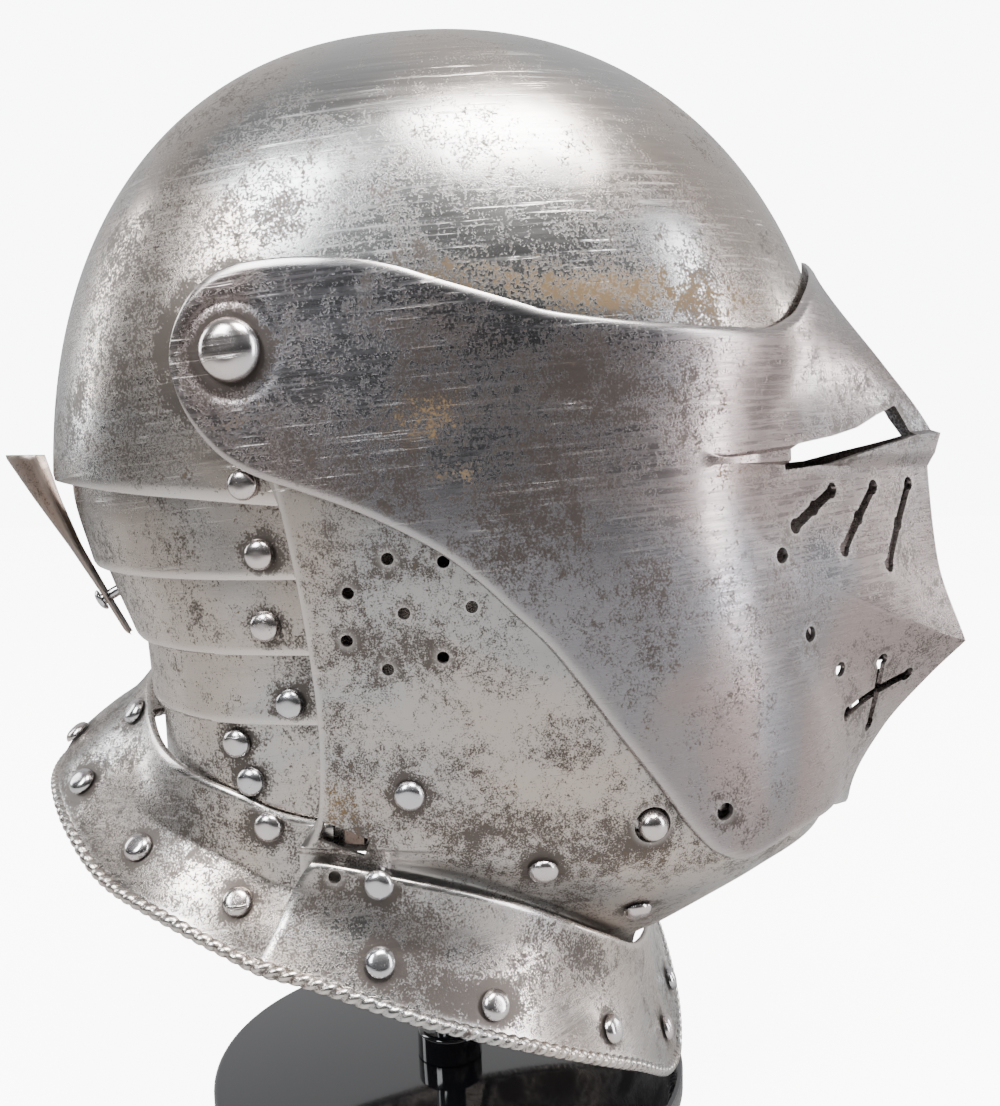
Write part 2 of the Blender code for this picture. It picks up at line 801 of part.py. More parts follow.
def cutter(name, shapes):
    """One hidden cutting object from several prisms."""
    points = []
    faces = []
    for shape_points, shape_faces in shapes:
        base = len(points)
        points += list(shape_points)
        faces += [tuple(base + i for i in face) for face in shape_faces]
    mesh = bpy.data.meshes.new(name)
    mesh.from_pydata((np.array(points) * MM).tolist(), [], faces)
    work = bmesh.new()
    work.from_mesh(mesh)
    bmesh.ops.recalc_face_normals(work, faces=work.faces)
    work.to_mesh(mesh)
    work.free()
    obj = bpy.data.objects.new("cut_" + name, mesh)
    obj.hide_render = True
    obj.display_type = "WIRE"
    bpy.context.scene.collection.objects.link(obj)
    return obj


def cut(obj, name, shapes):
    """Cuts prisms from an object."""
    modifier = obj.modifiers.new(name, "BOOLEAN")
    modifier.operation = "DIFFERENCE"
    modifier.solver = "EXACT"
    modifier.object = cutter(obj.name + "_" + name, shapes)


def surface_at(face, y, z, side):
    """Where the side of a face has this y and height, and its outward normal.

    face(angle, z) gives a point at about that height.
    """
    low, high = math.radians(8), math.radians(175)
    for _ in range(40):
        angle = (low + high) / 2
        if float(face(np.array(angle), z)[1]) < y:
            low = angle
        else:
            high = angle
    point = face(np.array(angle), z)
    ahead = face(np.array(angle + 0.01), z) - face(np.array(angle - 0.01), z)
    up = face(np.array(angle), z + 1.0) - face(np.array(angle), z - 1.0)
    normal = np.cross(up, ahead)
    normal /= np.linalg.norm(normal)
    if normal[0] < 0:
        normal = -normal
    return point * np.array([side, 1, 1]), normal * np.array([side, 1, 1])


def by_height(face_of_share, low=0.0, high=1.0):
    """Turns a face by share down into a face by height, by bisection."""

    def face(angle, z):
        top, bottom = low, high
        for _ in range(30):
            share = (top + bottom) / 2
            if float(face_of_share(angle, np.array(share))[..., 2]) > z:
                top = share
            else:
                bottom = share
        return face_of_share(angle, np.array(share))

    return face


# Pieces


def make_skull():
    angle = np.linspace(0, 2 * math.pi, 45)[:-1]
    folded = np.minimum(angle, 2 * math.pi - angle)
    edge = height(smooth(np.degrees(folded), column(BOWL_EDGE, 0), column(BOWL_EDGE, 1)))
    outer = bowl_face(angle, edge, 12, 0.0)
    inner = bowl_face(angle, edge, 12, PLATE)
    outer[:, -1] = outer[:, -1].mean(axis=0)
    inner[:, -1] = inner[:, -1].mean(axis=0)
    return shell("skull", outer, inner, STEEL, (0, 0, 0), around=True)


def make_nape_plate(row, origin):
    start = NAPE_FRONT_ANGLE
    angle = np.linspace(start, 2 * math.pi - start, 29)[:, None]
    share = np.array([0.0, NAPE_EMERGE_SHARE, 0.65, 1.0])[None, :]
    outer = nape_face(row, angle, share, 0.0)
    inner = nape_face(row, angle, share, PLATE)
    return shell(row[0], outer, inner, STEEL, origin)


def bevor_grid(inset, columns, rows):
    """The bevor's face, from its right rear edge round the chin to its left one."""
    way = np.linspace(-1, 1, columns)[:, None]
    toward = 1 - np.abs(way)
    down = np.linspace(0, 1, rows)[None, :]
    top = smooth(toward, column(BEVOR_UPPER, 0), column(BEVOR_UPPER, 1))
    label = top + (BEVOR_LOWER_SHARE - top) * down
    rear_label = BEVOR_UPPER[0][1] + (BEVOR_LOWER_SHARE - BEVOR_UPPER[0][1]) * down
    ahead = HELMET_LENGTH * smooth(rear_label, column(BEVOR_REAR, 0), column(BEVOR_REAR, 1))
    half_width, _, _, _ = cheek_sizes(rear_label, LAYER)
    rear_angle = math.pi / 2 - np.arctan2(ahead - (PIVOT_Y - WIDEST_Y), half_width)
    angle = BEVOR_REAR_ANGLE * way
    angle = angle + (rear_angle - BEVOR_REAR_ANGLE) * np.sign(way) * np.abs(way) ** 7
    return cheek_face(angle, label, LAYER - inset)


def make_bevor(origin):
    outer = bevor_grid(0.0, 39, 15)
    inner = bevor_grid(PLATE, 39, 15)
    return shell("bevor", outer, inner, STEEL, origin)


def visor_grid(inset, columns):
    """The visor's face, rows running from its lower to its upper edge."""
    turn = math.degrees(SLANT_ANGLE)
    last = VISOR_OUTLINE[-1][0]
    ahead = np.linspace(0, turn, columns // 3)
    beside = turn + (last - turn) * np.sin(np.linspace(0, math.pi / 2, columns * 2 // 3))
    half = np.concatenate([ahead, beside[1:]])
    degrees = np.concatenate([-half[::-1], half[1:]])[:, None]
    angle = np.radians(degrees)
    folded = np.abs(degrees)
    keys = column(VISOR_OUTLINE, 0)
    upper = unslanted(angle, smooth(folded, keys, column(VISOR_OUTLINE, 1)))
    lower = unslanted(angle, smooth(folded, keys, column(VISOR_OUTLINE, 2)))
    stops = (0.0, 0.08, 0.16, 0.24, 0.31, 0.40, 0.50, 0.58)
    stops += (0.64, 0.655, 0.69, 0.695, 0.78, 0.89, 1.0)
    lines = (0.31, CREASE_SHARE), (0.64, LEDGE_LOW_SHARE - LEDGE_BEVEL_SHARE)
    lines += (0.655, LEDGE_LOW_SHARE), (0.69, LEDGE_HIGH_SHARE)
    lines += ((0.695, LEDGE_HIGH_SHARE + LEDGE_BEVEL_SHARE / 4),)
    knots = [0.0] + [line[0] for line in lines] + [1.0]
    way = np.array(stops)[None, :]
    aligned = np.zeros(np.broadcast(lower, way).shape)
    edges = [lower] + [line[1] + 0 * lower for line in lines] + [upper]
    for k in range(len(knots) - 1):
        part = (way - knots[k]) / (knots[k + 1] - knots[k])
        here = (part >= 0) & (part <= 1)
        aligned = np.where(here, edges[k] + (edges[k + 1] - edges[k]) * part, aligned)
    even = lower + (upper - lower) * way
    run = np.clip((folded - math.degrees(SLANT_FADE_START_ANGLE)) / 12, 0, 1)
    share = aligned + (even - aligned) * run * run * (3 - 2 * run)
    return visor_face(angle, share, inset)


def make_visor(origin):
    outer = visor_grid(0.0, 27)
    inner = visor_grid(PLATE, 27)
    return shell("visor", outer, inner, STEEL, origin)


def make_front_gorget(origin):
    share = np.linspace(0, 1, 6)[None, :]
    rear = np.radians(
        smooth(share, column(FRONT_GORGET_REAR, 0), column(FRONT_GORGET_REAR, 1))
    )
    angle = np.linspace(-1, 1, 27)[:, None] * rear
    outer = gorget_face(FRONT_GORGET_EDGES, FRONT_GORGET_FLARE, angle, share, 0.0, SECTION_POWER)
    inner = gorget_face(FRONT_GORGET_EDGES, FRONT_GORGET_FLARE, angle, share, PLATE, SECTION_POWER)
    return shell("front_gorget", outer, inner, STEEL, origin, roll=ROLL_RADIUS)


def make_rear_gorget(origin):
    share = np.linspace(0, 1, 6)[None, :]
    start = math.radians(REAR_GORGET_EDGES[0][0])
    angle = np.linspace(start, 2 * math.pi - start, 27)[:, None]
    folded = np.minimum(angle, 2 * math.pi - angle)
    faces = []
    for inset in (0.0, PLATE):
        face = gorget_face(
            REAR_GORGET_EDGES, REAR_GORGET_FLARE, folded, share, inset, BACK_POWER
        )
        face[..., 0] *= np.where(angle > math.pi, -1, 1)
        faces.append(face)
    return shell("rear_gorget", faces[0], faces[1], STEEL, origin, roll=ROLL_RADIUS)


def turned(name, profile, finish, centre, normal, origin, sides=16):
    """A solid turned from (radius, height) pairs about a normal through centre."""
    level, upward, normal = frame_at(centre, normal)
    points = []
    for radius, rise in profile:
        for i in range(sides):
            turn = 2 * math.pi * i / sides
            across = math.cos(turn) * level + math.sin(turn) * upward
            points.append(np.asarray(centre) + max(radius, 0.0) * across + rise * normal)
    faces = []
    for k in range(len(profile) - 1):
        for i in range(sides):
            j = (i + 1) % sides
            faces.append(
                (k * sides + i, k * sides + j, (k + 1) * sides + j, (k + 1) * sides + i)
            )
    ring = np.array(points).reshape(len(profile), sides, 3)
    faces = clean_faces(faces, ring)
    if profile[0][0] > 0:
        faces.append(tuple(range(sides))[::-1])
    if profile[-1][0] > 0:
        last = (len(profile) - 1) * sides
        faces.append(tuple(range(last, last + sides)))
    return add_object(name, points, faces, finish, origin)


def dome_profile(radius, rise, steps=3):
    """From the seat's edge up over a rounded head."""
    rows = [(radius, 0.0)]
    for i in range(1, steps + 1):
        turn = math.pi / 2 * i / steps
        rows.append((radius * math.cos(turn) if i < steps else 0.0, rise * math.sin(turn)))
    return rows


def frame_on(face, degrees, share):
    """A point of a face and its outward normal, from two arguments of the face."""
    angle = math.radians(degrees)
    here = face(np.array(angle), np.array(share))
    ahead = face(np.array(angle + 0.01), np.array(share)) - face(
        np.array(angle - 0.01), np.array(share)
    )
    down = face(np.array(angle), np.array(share + 0.004)) - face(
        np.array(angle), np.array(share - 0.004)
    )
    normal = np.cross(ahead, down)
    normal /= np.linalg.norm(normal)
    if np.dot(normal, here - (0, WIDEST_Y, here[2])) < 0:
        normal = -normal
    return here, normal


def flipped(points):
    """The same points on the other side of the middle plane."""
    return np.asarray(points) * np.array([-1, 1, 1])


def sides_of(name, point, normal):
    """The name, point and normal for the right side and for the left."""
    point = np.asarray(point, float)
    normal = np.asarray(normal, float)
    if point[0] > 0:
        point, normal = flipped(point), flipped(normal)
    return (
        (name + "_right", point, normal),
        (name + "_left", flipped(point), flipped(normal)),
    )


def make_rivet(name, point, normal, radius, rise, origin):
    """A domed rivet head on its seat."""
    profile = [(r, RIVET_SEAT + h) for r, h in dome_profile(radius, rise, 2)]
    turned(name, profile, RIVET_STEEL, point, normal, origin, 8)


def make_pivot(name, point, normal, size, depth, origin, seat=SEAT_GAP, play=SEAT_GAP):
    """A domed rivet with a shank down to a peened tail under the inner plate.

    size holds the radius and rise of the head, then the radii of shank and tail. seat and
    play are the gaps under the head and over the tail.
    """
    radius, rise, shank, tail = size
    under = -depth - play
    profile = [(tail, under - TAIL_THICKNESS), (tail, under), (shank, under)]
    profile += [(shank, seat)]
    profile += [(r, seat + h) for r, h in dome_profile(radius, rise, 3)]
    turned(name, profile, RIVET_STEEL, point, normal, origin, 14 if tail > 4 else 8)


def hole(point, normal, radius, below=HOLE_REACH, above=HOLE_REACH, sides=8):
    """A round hole through a plate, as a prism."""
    return prism(point, normal, circle(radius, sides), below, above)


def both_holes(point, normal, radius, below=HOLE_REACH, above=HOLE_REACH, sides=8):
    """The same hole on the right and on the left."""
    return [
        hole(p, n, radius, below, above, sides) for _, p, n in sides_of("", point, normal)
    ]


def pushed_outline(points, normal, below, above):
    """Points and faces of an outline in space pushed both ways along a normal."""
    points = np.asarray(points, float)
    normal = np.asarray(normal, float)
    count = len(points)
    both_ends = np.concatenate([points - normal * below, points + normal * above])
    faces = [tuple(range(count))[::-1], tuple(range(count, 2 * count))]
    for i in range(count):
        j = (i + 1) % count
        faces.append((i, j, count + j, count + i))
    return both_ends, faces


def visor_outer(angle, share):
    return visor_face(angle, share, 0.0)


def visor_slot(first, last, end_radius, bar, middle):
    """A slot between two places on the visor, on both sides."""
    start, start_normal = frame_on(visor_outer, *first)
    end, end_normal = frame_on(visor_outer, *last)
    normal = start_normal + end_normal
    along = (end - start) / np.linalg.norm(end - start)
    normal -= along * np.dot(along, normal)
    normal /= np.linalg.norm(normal)
    across = np.cross(normal, along)
    length = float(np.linalg.norm(end - start))
    flat = slot_outline((0, 0), (length, 0), end_radius, bar, middle)
    points = [start + a * along + b * across for a, b in flat]
    return [
        pushed_outline(points, normal, SLOT_REACH, SLOT_REACH),
        pushed_outline(flipped(points), flipped(normal), SLOT_REACH, SLOT_REACH),
    ]


def cut_visor(visor):
    """The sight, breath slots, breath holes, pierced crosses and the catch's hole."""
    sight = []
    for degrees, share in SIGHT:
        sight.append(frame_on(visor_outer, degrees, share)[0])
    middle = frame_on(visor_outer, 12.0, 0.590)[1]
    normal = np.array([middle[0], middle[1], 0.0]) / math.hypot(middle[0], middle[1])
    shapes = [
        pushed_outline(sight, normal, CUT_REACH, CUT_REACH),
        pushed_outline(flipped(sight), flipped(normal), CUT_REACH, CUT_REACH),
    ]
    cut(visor, "sight", shapes)
    shapes = []
    for foot, head in BREATH_SLOTS:
        shapes += visor_slot(foot, head, BREATH_END_RADIUS, BREATH_BAR_HALF_WIDTH, True)
    cut(visor, "breath", shapes)
    for i, bar in enumerate(CROSS_BARS):
        shapes = visor_slot(*bar, CROSS_END_RADIUS, CROSS_BAR_HALF_WIDTH, False)
        cut(visor, "cross_%d" % (i + 1), shapes)
    shapes = []
    for degrees, share in BREATH_HOLES:
        shapes += both_holes(*frame_on(visor_outer, degrees, share), BREATH_HOLE_RADIUS)
    point, stud_normal = frame_on(visor_outer, *STUD_HOLE)
    radius = STUD_RADIUS + STUD_HOLE_CLEARANCE
    shapes.append(hole(flipped(point), flipped(stud_normal), radius))
    cut(visor, "holes", shapes)


def bevor_outer(angle, share):
    return cheek_face(angle, share, LAYER)


def cut_bevor(bevor):
    """Vents, the lock slots, the holes for the catch and for the catch's rivet."""
    shapes = []
    for degrees, label in BEVOR_VENTS:
        shapes += both_holes(*frame_on(bevor_outer, degrees, label), VENT_RADIUS, sides=8)
    cut(bevor, "vents", shapes)
    x = HALF_WIDTH * 0.9
    slot = [(-x, behind_widest(y), float(height(z))) for y, z in BEVOR_SLOT]
    shapes = [
        pushed_outline(slot, (-1, 0, 0), CUT_REACH, CUT_REACH),
        pushed_outline(flipped(slot), (1, 0, 0), CUT_REACH, CUT_REACH),
    ]
    cut(bevor, "slots", shapes)
    shapes = []
    for place, radius in (
        (CATCH_RIVET, SHANK_RADIUS + HOLE_CLEARANCE),
        (CATCH_BUTTON, BUTTON_RADIUS + CATCH_CLEARANCE),
        (CATCH_STUD, STUD_RADIUS + CATCH_CLEARANCE),
    ):
        point, normal = frame_on(bevor_outer, *place)
        shapes.append(hole(flipped(point), flipped(normal), radius, sides=12))
    cut(bevor, "catch", shapes)


def make_catch():
    """Leaf spring, button and stud inside the right of the bevor, and the leaf's rivet."""
    top = LAYER - PLATE - LEAF_GAP
    start = np.array(CATCH_RIVET)
    end = np.array(CATCH_STUD)
    way = end - start
    stations = np.linspace(-0.16, 1.13, 8)
    columns = {}
    for layer in (top, top - LEAF_THICKNESS):
        rows = []
        for station in stations:
            degrees, label = start + way * station
            place = math.radians(degrees)
            middle = cheek_face(np.array(place), np.array(label), layer)
            ahead = cheek_face(np.array(place - 0.01), np.array(label), layer)
            down = cheek_face(np.array(place), np.array(label - 0.01), layer)
            down = (down - middle) / np.linalg.norm(down - middle)
            ahead = (ahead - middle) / np.linalg.norm(ahead - middle)
            across = down - ahead * np.dot(down, ahead)
            across /= np.linalg.norm(across)
            taper = 1.0 if station < 0.5 else 1.0 - 0.3 * (station - 0.5)
            half = LEAF_HALF_WIDTH * taper
            rows.append([flipped(middle - across * half), flipped(middle + across * half)])
        columns[layer] = np.array(rows)
    origin = flipped(frame_on(bevor_outer, *CATCH_RIVET)[0])
    leaf = shell("catch_leaf", columns[top], columns[top - LEAF_THICKNESS], STEEL, origin)
    point, normal = frame_on(bevor_outer, *CATCH_RIVET)
    radius = SHANK_RADIUS + HOLE_CLEARANCE
    cut(leaf, "rivet", [hole(flipped(point), flipped(normal), radius, CUT_REACH)])
    depth = PLATE + LEAF_GAP + LEAF_THICKNESS + BUTTON_LIFT
    size = (RIVET_RADIUS, RIVET_RISE, SHANK_RADIUS, TAIL_RADIUS)
    make_pivot(
        "catch_rivet", flipped(point), flipped(normal), size, depth, origin, CATCH_SEAT
    )
    point, normal = frame_on(bevor_outer, *CATCH_BUTTON)
    foot = -PLATE - LEAF_GAP + BUTTON_LIFT
    profile = [(BUTTON_RADIUS, foot), (BUTTON_RADIUS, BUTTON_LIFT)]
    for r, h in dome_profile(BUTTON_RADIUS, BUTTON_RISE)[1:]:
        profile.append((r, BUTTON_LIFT + h))
    turned("catch_button", profile, RIVET_STEEL, flipped(point), flipped(normal), origin, 12)
    point, normal = frame_on(bevor_outer, *CATCH_STUD)
    profile = [(STUD_RADIUS, foot), (STUD_RADIUS, -SEAT_GAP / 3)]
    turned("catch_stud", profile, RIVET_STEEL, flipped(point), flipped(normal), origin, 10)


def side_of_bowl(y, z, inset):
    """Distance of the bowl's side face from the middle plane."""
    low, high = 0.0, 2 * HALF_WIDTH
    for _ in range(40):
        middle = (low + high) / 2
        if bowl_field(np.array([[middle, y, z]]), inset)[0] < 1:
            low = middle
        else:
            high = middle
    return low


def side_of(face, y, z):
    """Distance of a nape plate's side face from the middle plane."""
    return abs(surface_at(by_height(face), y, z, 1)[0][0])


def make_nape_pivots(plates):
    """The four pairs of pivots that hang each nape plate on the one above."""
    size = (RIVET_RADIUS, RIVET_RISE, SHANK_RADIUS, TAIL_RADIUS)
    faces = []
    for row in NAPE_ROWS:
        faces.append(lambda a, v, row=row: nape_face(row, a, v, 0.0))
    for i, (behind, share) in enumerate(NAPE_PIVOTS):
        y = behind_widest(behind)
        z = float(height(share))
        outer = side_of_bowl(y, z, 0.0) if i == 0 else side_of(faces[i - 1], y, z)
        inner = side_of(faces[i], y, z) - PLATE
        radius = SHANK_RADIUS + HOLE_CLEARANCE
        holes = both_holes((-outer, y, z), (-1, 0, 0), radius, CUT_REACH)
        cut(plates[i], "pivot_below", holes)
        cut(plates[i + 1], "pivot_above", holes)
        name = "nape_pivot_%d" % (i + 1)
        for label, point, normal in sides_of(name, (-outer, y, z), (-1, 0, 0)):
            depth = outer - inner
            gap = NAPE_PIVOT_GAP
            make_pivot(label, point, normal, size, depth, point, gap, gap)


def front_gorget_outer(angle, share):
    return gorget_face(
        FRONT_GORGET_EDGES, FRONT_GORGET_FLARE, angle, share, 0.0, SECTION_POWER
    )


def rear_gorget_outer(angle, share):
    return gorget_face(
        REAR_GORGET_EDGES, REAR_GORGET_FLARE, angle, share, 0.0, BACK_POWER
    )


def neck_outer(angle, share):
    return nape_face(NAPE_ROWS[3], angle, share, 0.0)


def make_gorget_pivots(front_gorget, bevor):
    """The rivets at both sides on which the front gorget hangs from the bevor."""
    y = behind_widest(GORGET_PIVOT[0])
    z = float(height(GORGET_PIVOT[1]))
    outer = side_of(front_gorget_outer, y, z)
    inner = side_of(lambda a, v: cheek_face(a, 0.35 - 0.25 * v, LAYER), y, z) - PLATE
    radius = SHANK_RADIUS + HOLE_CLEARANCE
    holes = both_holes((-outer, y, z), (-1, 0, 0), radius, CUT_REACH)
    cut(front_gorget, "pivot", holes)
    cut(bevor, "pivot", holes)
    size = (RIVET_RADIUS, RIVET_RISE, SHANK_RADIUS, TAIL_RADIUS)
    gaps = (GORGET_PIVOT_SEAT, GORGET_PIVOT_PLAY)
    for label, point, normal in sides_of("gorget_pivot", (-outer, y, z), (-1, 0, 0)):
        make_pivot(label, point, normal, size, outer - inner, point, *gaps)


def make_temple_rivets(plates):
    """The big rivets on which the bevor and the visor turn."""
    z = float(height(PIVOT_SHARE))
    outer = HALF_WIDTH + 2 * LAYER + VISOR_EASE
    depth = outer - side_of_bowl(PIVOT_Y, z, PLATE)
    size = (TEMPLE_RIVET_RADIUS, TEMPLE_RIVET_RISE, TEMPLE_SHANK_RADIUS, TEMPLE_TAIL_RADIUS)
    radius = TEMPLE_SHANK_RADIUS + HOLE_CLEARANCE
    holes = both_holes((-outer, PIVOT_Y, z), (-1, 0, 0), radius, CUT_REACH, HOLE_REACH, 14)
    for plate in plates:
        cut(plate, "temple", holes)
    for label, point, normal in sides_of("temple_rivet", (-outer, PIVOT_Y, z), (-1, 0, 0)):
        make_pivot(label, point, normal, size, depth, point, TEMPLE_SEAT, TEMPLE_SEAT)


def make_domed_rivets():
    """The rivets that only hold linings and seams."""
    groups = (
        ("neck_rivet", neck_outer, NECK_RIVETS),
        ("rear_gorget_rivet", rear_gorget_outer, REAR_GORGET_RIVETS),
        ("front_gorget_rivet", front_gorget_outer, FRONT_GORGET_RIVETS),
        ("bevor_rivet", bevor_outer, BEVOR_RIVETS),
    )
    for group, face, rows in groups:
        for place, degrees, share in rows:
            point, normal = frame_on(face, degrees, share)
            for label, p, n in sides_of(group + "_" + place, point, normal):
                make_rivet(label, p, n, RIVET_RADIUS, RIVET_RISE, p)


def make_lock_staple():
    """The small block on the neck plate that stands behind the bevor's right slot."""
    y = behind_widest(LOCK_STAPLE[0])
    z = float(height(LOCK_STAPLE[1]))
    x = side_of(neck_outer, y, z)
    reach = HALF_WIDTH * CHEEK_ROWS[-1][3] + LAYER - PLATE - 2 * SEAT_GAP - x
    a, b = STAPLE_HALF_LENGTH, STAPLE_HALF_HEIGHT
    outline = [(-a, -b), (a, -b), (a, b), (-a, b)]
    points, faces = prism((-x, y, z), (-1, 0, 0), outline, -SEAT_GAP * 4 / 3, reach)
    add_object("lock_staple", points, faces, OLD_IRON, (-x, y, z))


def make_plume_holder(lame):
    """A tapered half round of iron plate behind the right of the nape, with its rivet."""
    outward = np.array(HOLDER_OUTWARD) / np.linalg.norm(HOLDER_OUTWARD)
    sideways = np.cross(outward, (0, 0, 1))
    turns = np.radians(np.linspace(-92, 92, 11))
    side = HALF_WIDTH * HOLDER_SIDE_SHARE
    heights = height(column(HOLDER_ROWS, 1))
    backs = behind_widest(np.array(column(HOLDER_ROWS, 0)))
    outer = []
    inner = []
    for y, z, (_, _, depth, half_width) in zip(backs, heights, HOLDER_ROWS):
        middle = np.array([side, y, z]) - depth * outward
        for rows, plate in ((outer, 0.0), (inner, HOLDER_PLATE)):
            ring = []
            for turn in turns:
                out = max(depth - plate, HOLDER_PLATE / 6) * math.cos(turn) * outward
                ring.append(middle + out + (half_width - plate) * math.sin(turn) * sideways)
            rows.append(ring)
    outer = np.array(outer).transpose(1, 0, 2)
    inner = np.array(inner).transpose(1, 0, 2)
    holder = shell("plume_holder", outer, inner, OLD_IRON, (side, backs[-1], heights[-1]))
    z = float(height(HOLDER_RIVET_SHARE))
    y = float(np.interp(-z, -heights, backs))
    point = np.array([side, y, z])
    lean = (backs[2] - backs[3]) / (heights[2] - heights[3])
    normal = outward - np.array([0, 0, lean * outward[1]])
    normal /= np.linalg.norm(normal)
    holes = [hole(point, normal, SHANK_RADIUS + HOLE_CLEARANCE, CUT_REACH)]
    cut(holder, "rivet", holes)
    cut(lame, "holder", holes)
    size = (HOLDER_RIVET_RADIUS, HOLDER_RIVET_RISE, SHANK_RADIUS, TAIL_RADIUS)
    name = "plume_holder_rivet"
    make_pivot(name, point, normal, size, HOLDER_RIVET_GRIP, point, CATCH_SEAT)


def make_stand():
    """The round black base and the plain post that carries the helmet by its crown."""
    edge = STAND_EDGE_RADIUS
    top = STAND_THICKNESS
    profile = [
        (STAND_RADIUS - edge, 0.0),
        (STAND_RADIUS, edge),
        (STAND_RADIUS, top - edge),
        (STAND_RADIUS - edge * 0.3, top - edge * 0.3),
        (STAND_RADIUS - edge, top),
    ]
    centre = (0, STAND_Y, 0)
    turned("stand_base", profile, BLACK_GLOSS, centre, (0, 0, 1), centre, 48)
    foot = top + SEAT_GAP
    crown = RIM_CLEARANCE + HELMET_HEIGHT - PLATE - POST_CROWN_GAP
    pad = crown - POST_PAD_RISE
    profile = [
        (POST_FOOT_RADIUS, foot),
        (POST_FOOT_RADIUS, foot + POST_FOOT_HEIGHT - POST_FOOT_EDGE),
        (POST_FOOT_RADIUS - POST_FOOT_EDGE, foot + POST_FOOT_HEIGHT),
        (POST_RADIUS, foot + POST_FOOT_HEIGHT),
        (POST_RADIUS, pad - POST_PAD_THICKNESS),
        (POST_PAD_RADIUS, pad - POST_PAD_THICKNESS),
        (POST_PAD_RADIUS, pad),
        (POST_PAD_RADIUS * 0.6, crown - POST_PAD_RISE / 3),
        (0.0, crown),
    ]
    turned("stand_post", profile, BLACK_GLOSS, centre, (0, 0, 1), centre, 20)


def clear_scene():
    for obj in list(bpy.data.objects):
        bpy.data.objects.remove(obj, do_unlink=True)


def main():
    clear_scene()
    temple = (0.0, PIVOT_Y, float(height(PIVOT_SHARE)))
    skull = make_skull()
    nape = []
    for row in NAPE_ROWS:
        nape.append(make_nape_plate(row, (0, 0, 0)))
    bevor = make_bevor(temple)
    visor = make_visor(temple)
    front_gorget = make_front_gorget((0, 0, 0))
    make_rear_gorget((0, 0, 0))
    cut_bevor(bevor)
    cut_visor(visor)
    place = frame_on(front_gorget_outer, *FRONT_GORGET_HOLE)
    cut(front_gorget, "hole", both_holes(*place, SHANK_RADIUS))
    make_temple_rivets([skull, bevor, visor])
    make_nape_pivots([skull] + nape)
    make_gorget_pivots(front_gorget, bevor)
    make_domed_rivets()
    make_catch()
    make_lock_staple()
    make_plume_holder(nape[1])
    make_stand()


main()
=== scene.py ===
"""Looks of an old close helmet of polished steel on a round black stand.

Every plate is worked out afresh at a fine pitch from the sections, outlines and edges
that its solid has, then pierced, given eased edges and dressed in worn steel dulled by
tarnishing, with some painted highlights and painted shade in its colour.
Lengths are in millimetres until a mesh is made. The helmet faces -Y and its right side
is -X.
"""

from __future__ import annotations

import json
import logging
import math
from dataclasses import dataclass, field
from enum import Enum
from typing import Callable

import bpy
import numpy as np
from mathutils import Matrix, Vector

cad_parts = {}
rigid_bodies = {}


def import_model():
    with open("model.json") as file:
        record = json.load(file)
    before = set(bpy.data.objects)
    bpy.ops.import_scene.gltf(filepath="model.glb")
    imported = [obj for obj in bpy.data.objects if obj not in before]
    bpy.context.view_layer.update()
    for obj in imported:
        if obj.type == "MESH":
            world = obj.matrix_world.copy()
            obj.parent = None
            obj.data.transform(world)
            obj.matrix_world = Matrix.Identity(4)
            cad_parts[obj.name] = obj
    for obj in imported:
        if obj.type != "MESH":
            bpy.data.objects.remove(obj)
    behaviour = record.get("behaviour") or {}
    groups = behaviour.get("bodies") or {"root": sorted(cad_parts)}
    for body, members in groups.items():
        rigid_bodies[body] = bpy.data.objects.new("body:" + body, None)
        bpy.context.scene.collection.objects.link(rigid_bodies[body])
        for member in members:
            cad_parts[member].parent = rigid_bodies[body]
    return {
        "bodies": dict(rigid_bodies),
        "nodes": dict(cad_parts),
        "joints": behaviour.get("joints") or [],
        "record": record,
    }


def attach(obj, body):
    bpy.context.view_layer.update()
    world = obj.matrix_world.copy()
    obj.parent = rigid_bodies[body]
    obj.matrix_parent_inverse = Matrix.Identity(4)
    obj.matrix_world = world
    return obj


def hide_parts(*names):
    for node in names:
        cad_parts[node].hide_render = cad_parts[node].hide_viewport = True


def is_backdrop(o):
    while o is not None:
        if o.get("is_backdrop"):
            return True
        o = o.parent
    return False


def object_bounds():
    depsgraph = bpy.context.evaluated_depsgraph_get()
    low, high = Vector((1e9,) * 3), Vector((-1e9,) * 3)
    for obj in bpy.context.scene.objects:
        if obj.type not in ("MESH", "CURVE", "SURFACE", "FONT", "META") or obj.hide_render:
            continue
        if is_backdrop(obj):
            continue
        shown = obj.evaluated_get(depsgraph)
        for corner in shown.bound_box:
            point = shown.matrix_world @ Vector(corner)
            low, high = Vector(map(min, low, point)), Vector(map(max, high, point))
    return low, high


LOG = logging.getLogger("helmet")
MM = 0.001
Rows = tuple[tuple[float, ...], ...]
Place = tuple[np.ndarray, np.ndarray]
Face = Callable[[np.ndarray, np.ndarray], np.ndarray]
Value = bpy.types.NodeSocket | float
Colour = bpy.types.NodeSocket | tuple[float, ...]


def column(rows: Rows, index: int) -> np.ndarray:
    """Takes one column of a table.

    Args:
        rows: The table.
        index: Which column.

    Returns:
        The column's numbers.
    """
    return np.array([row[index] for row in rows], float)


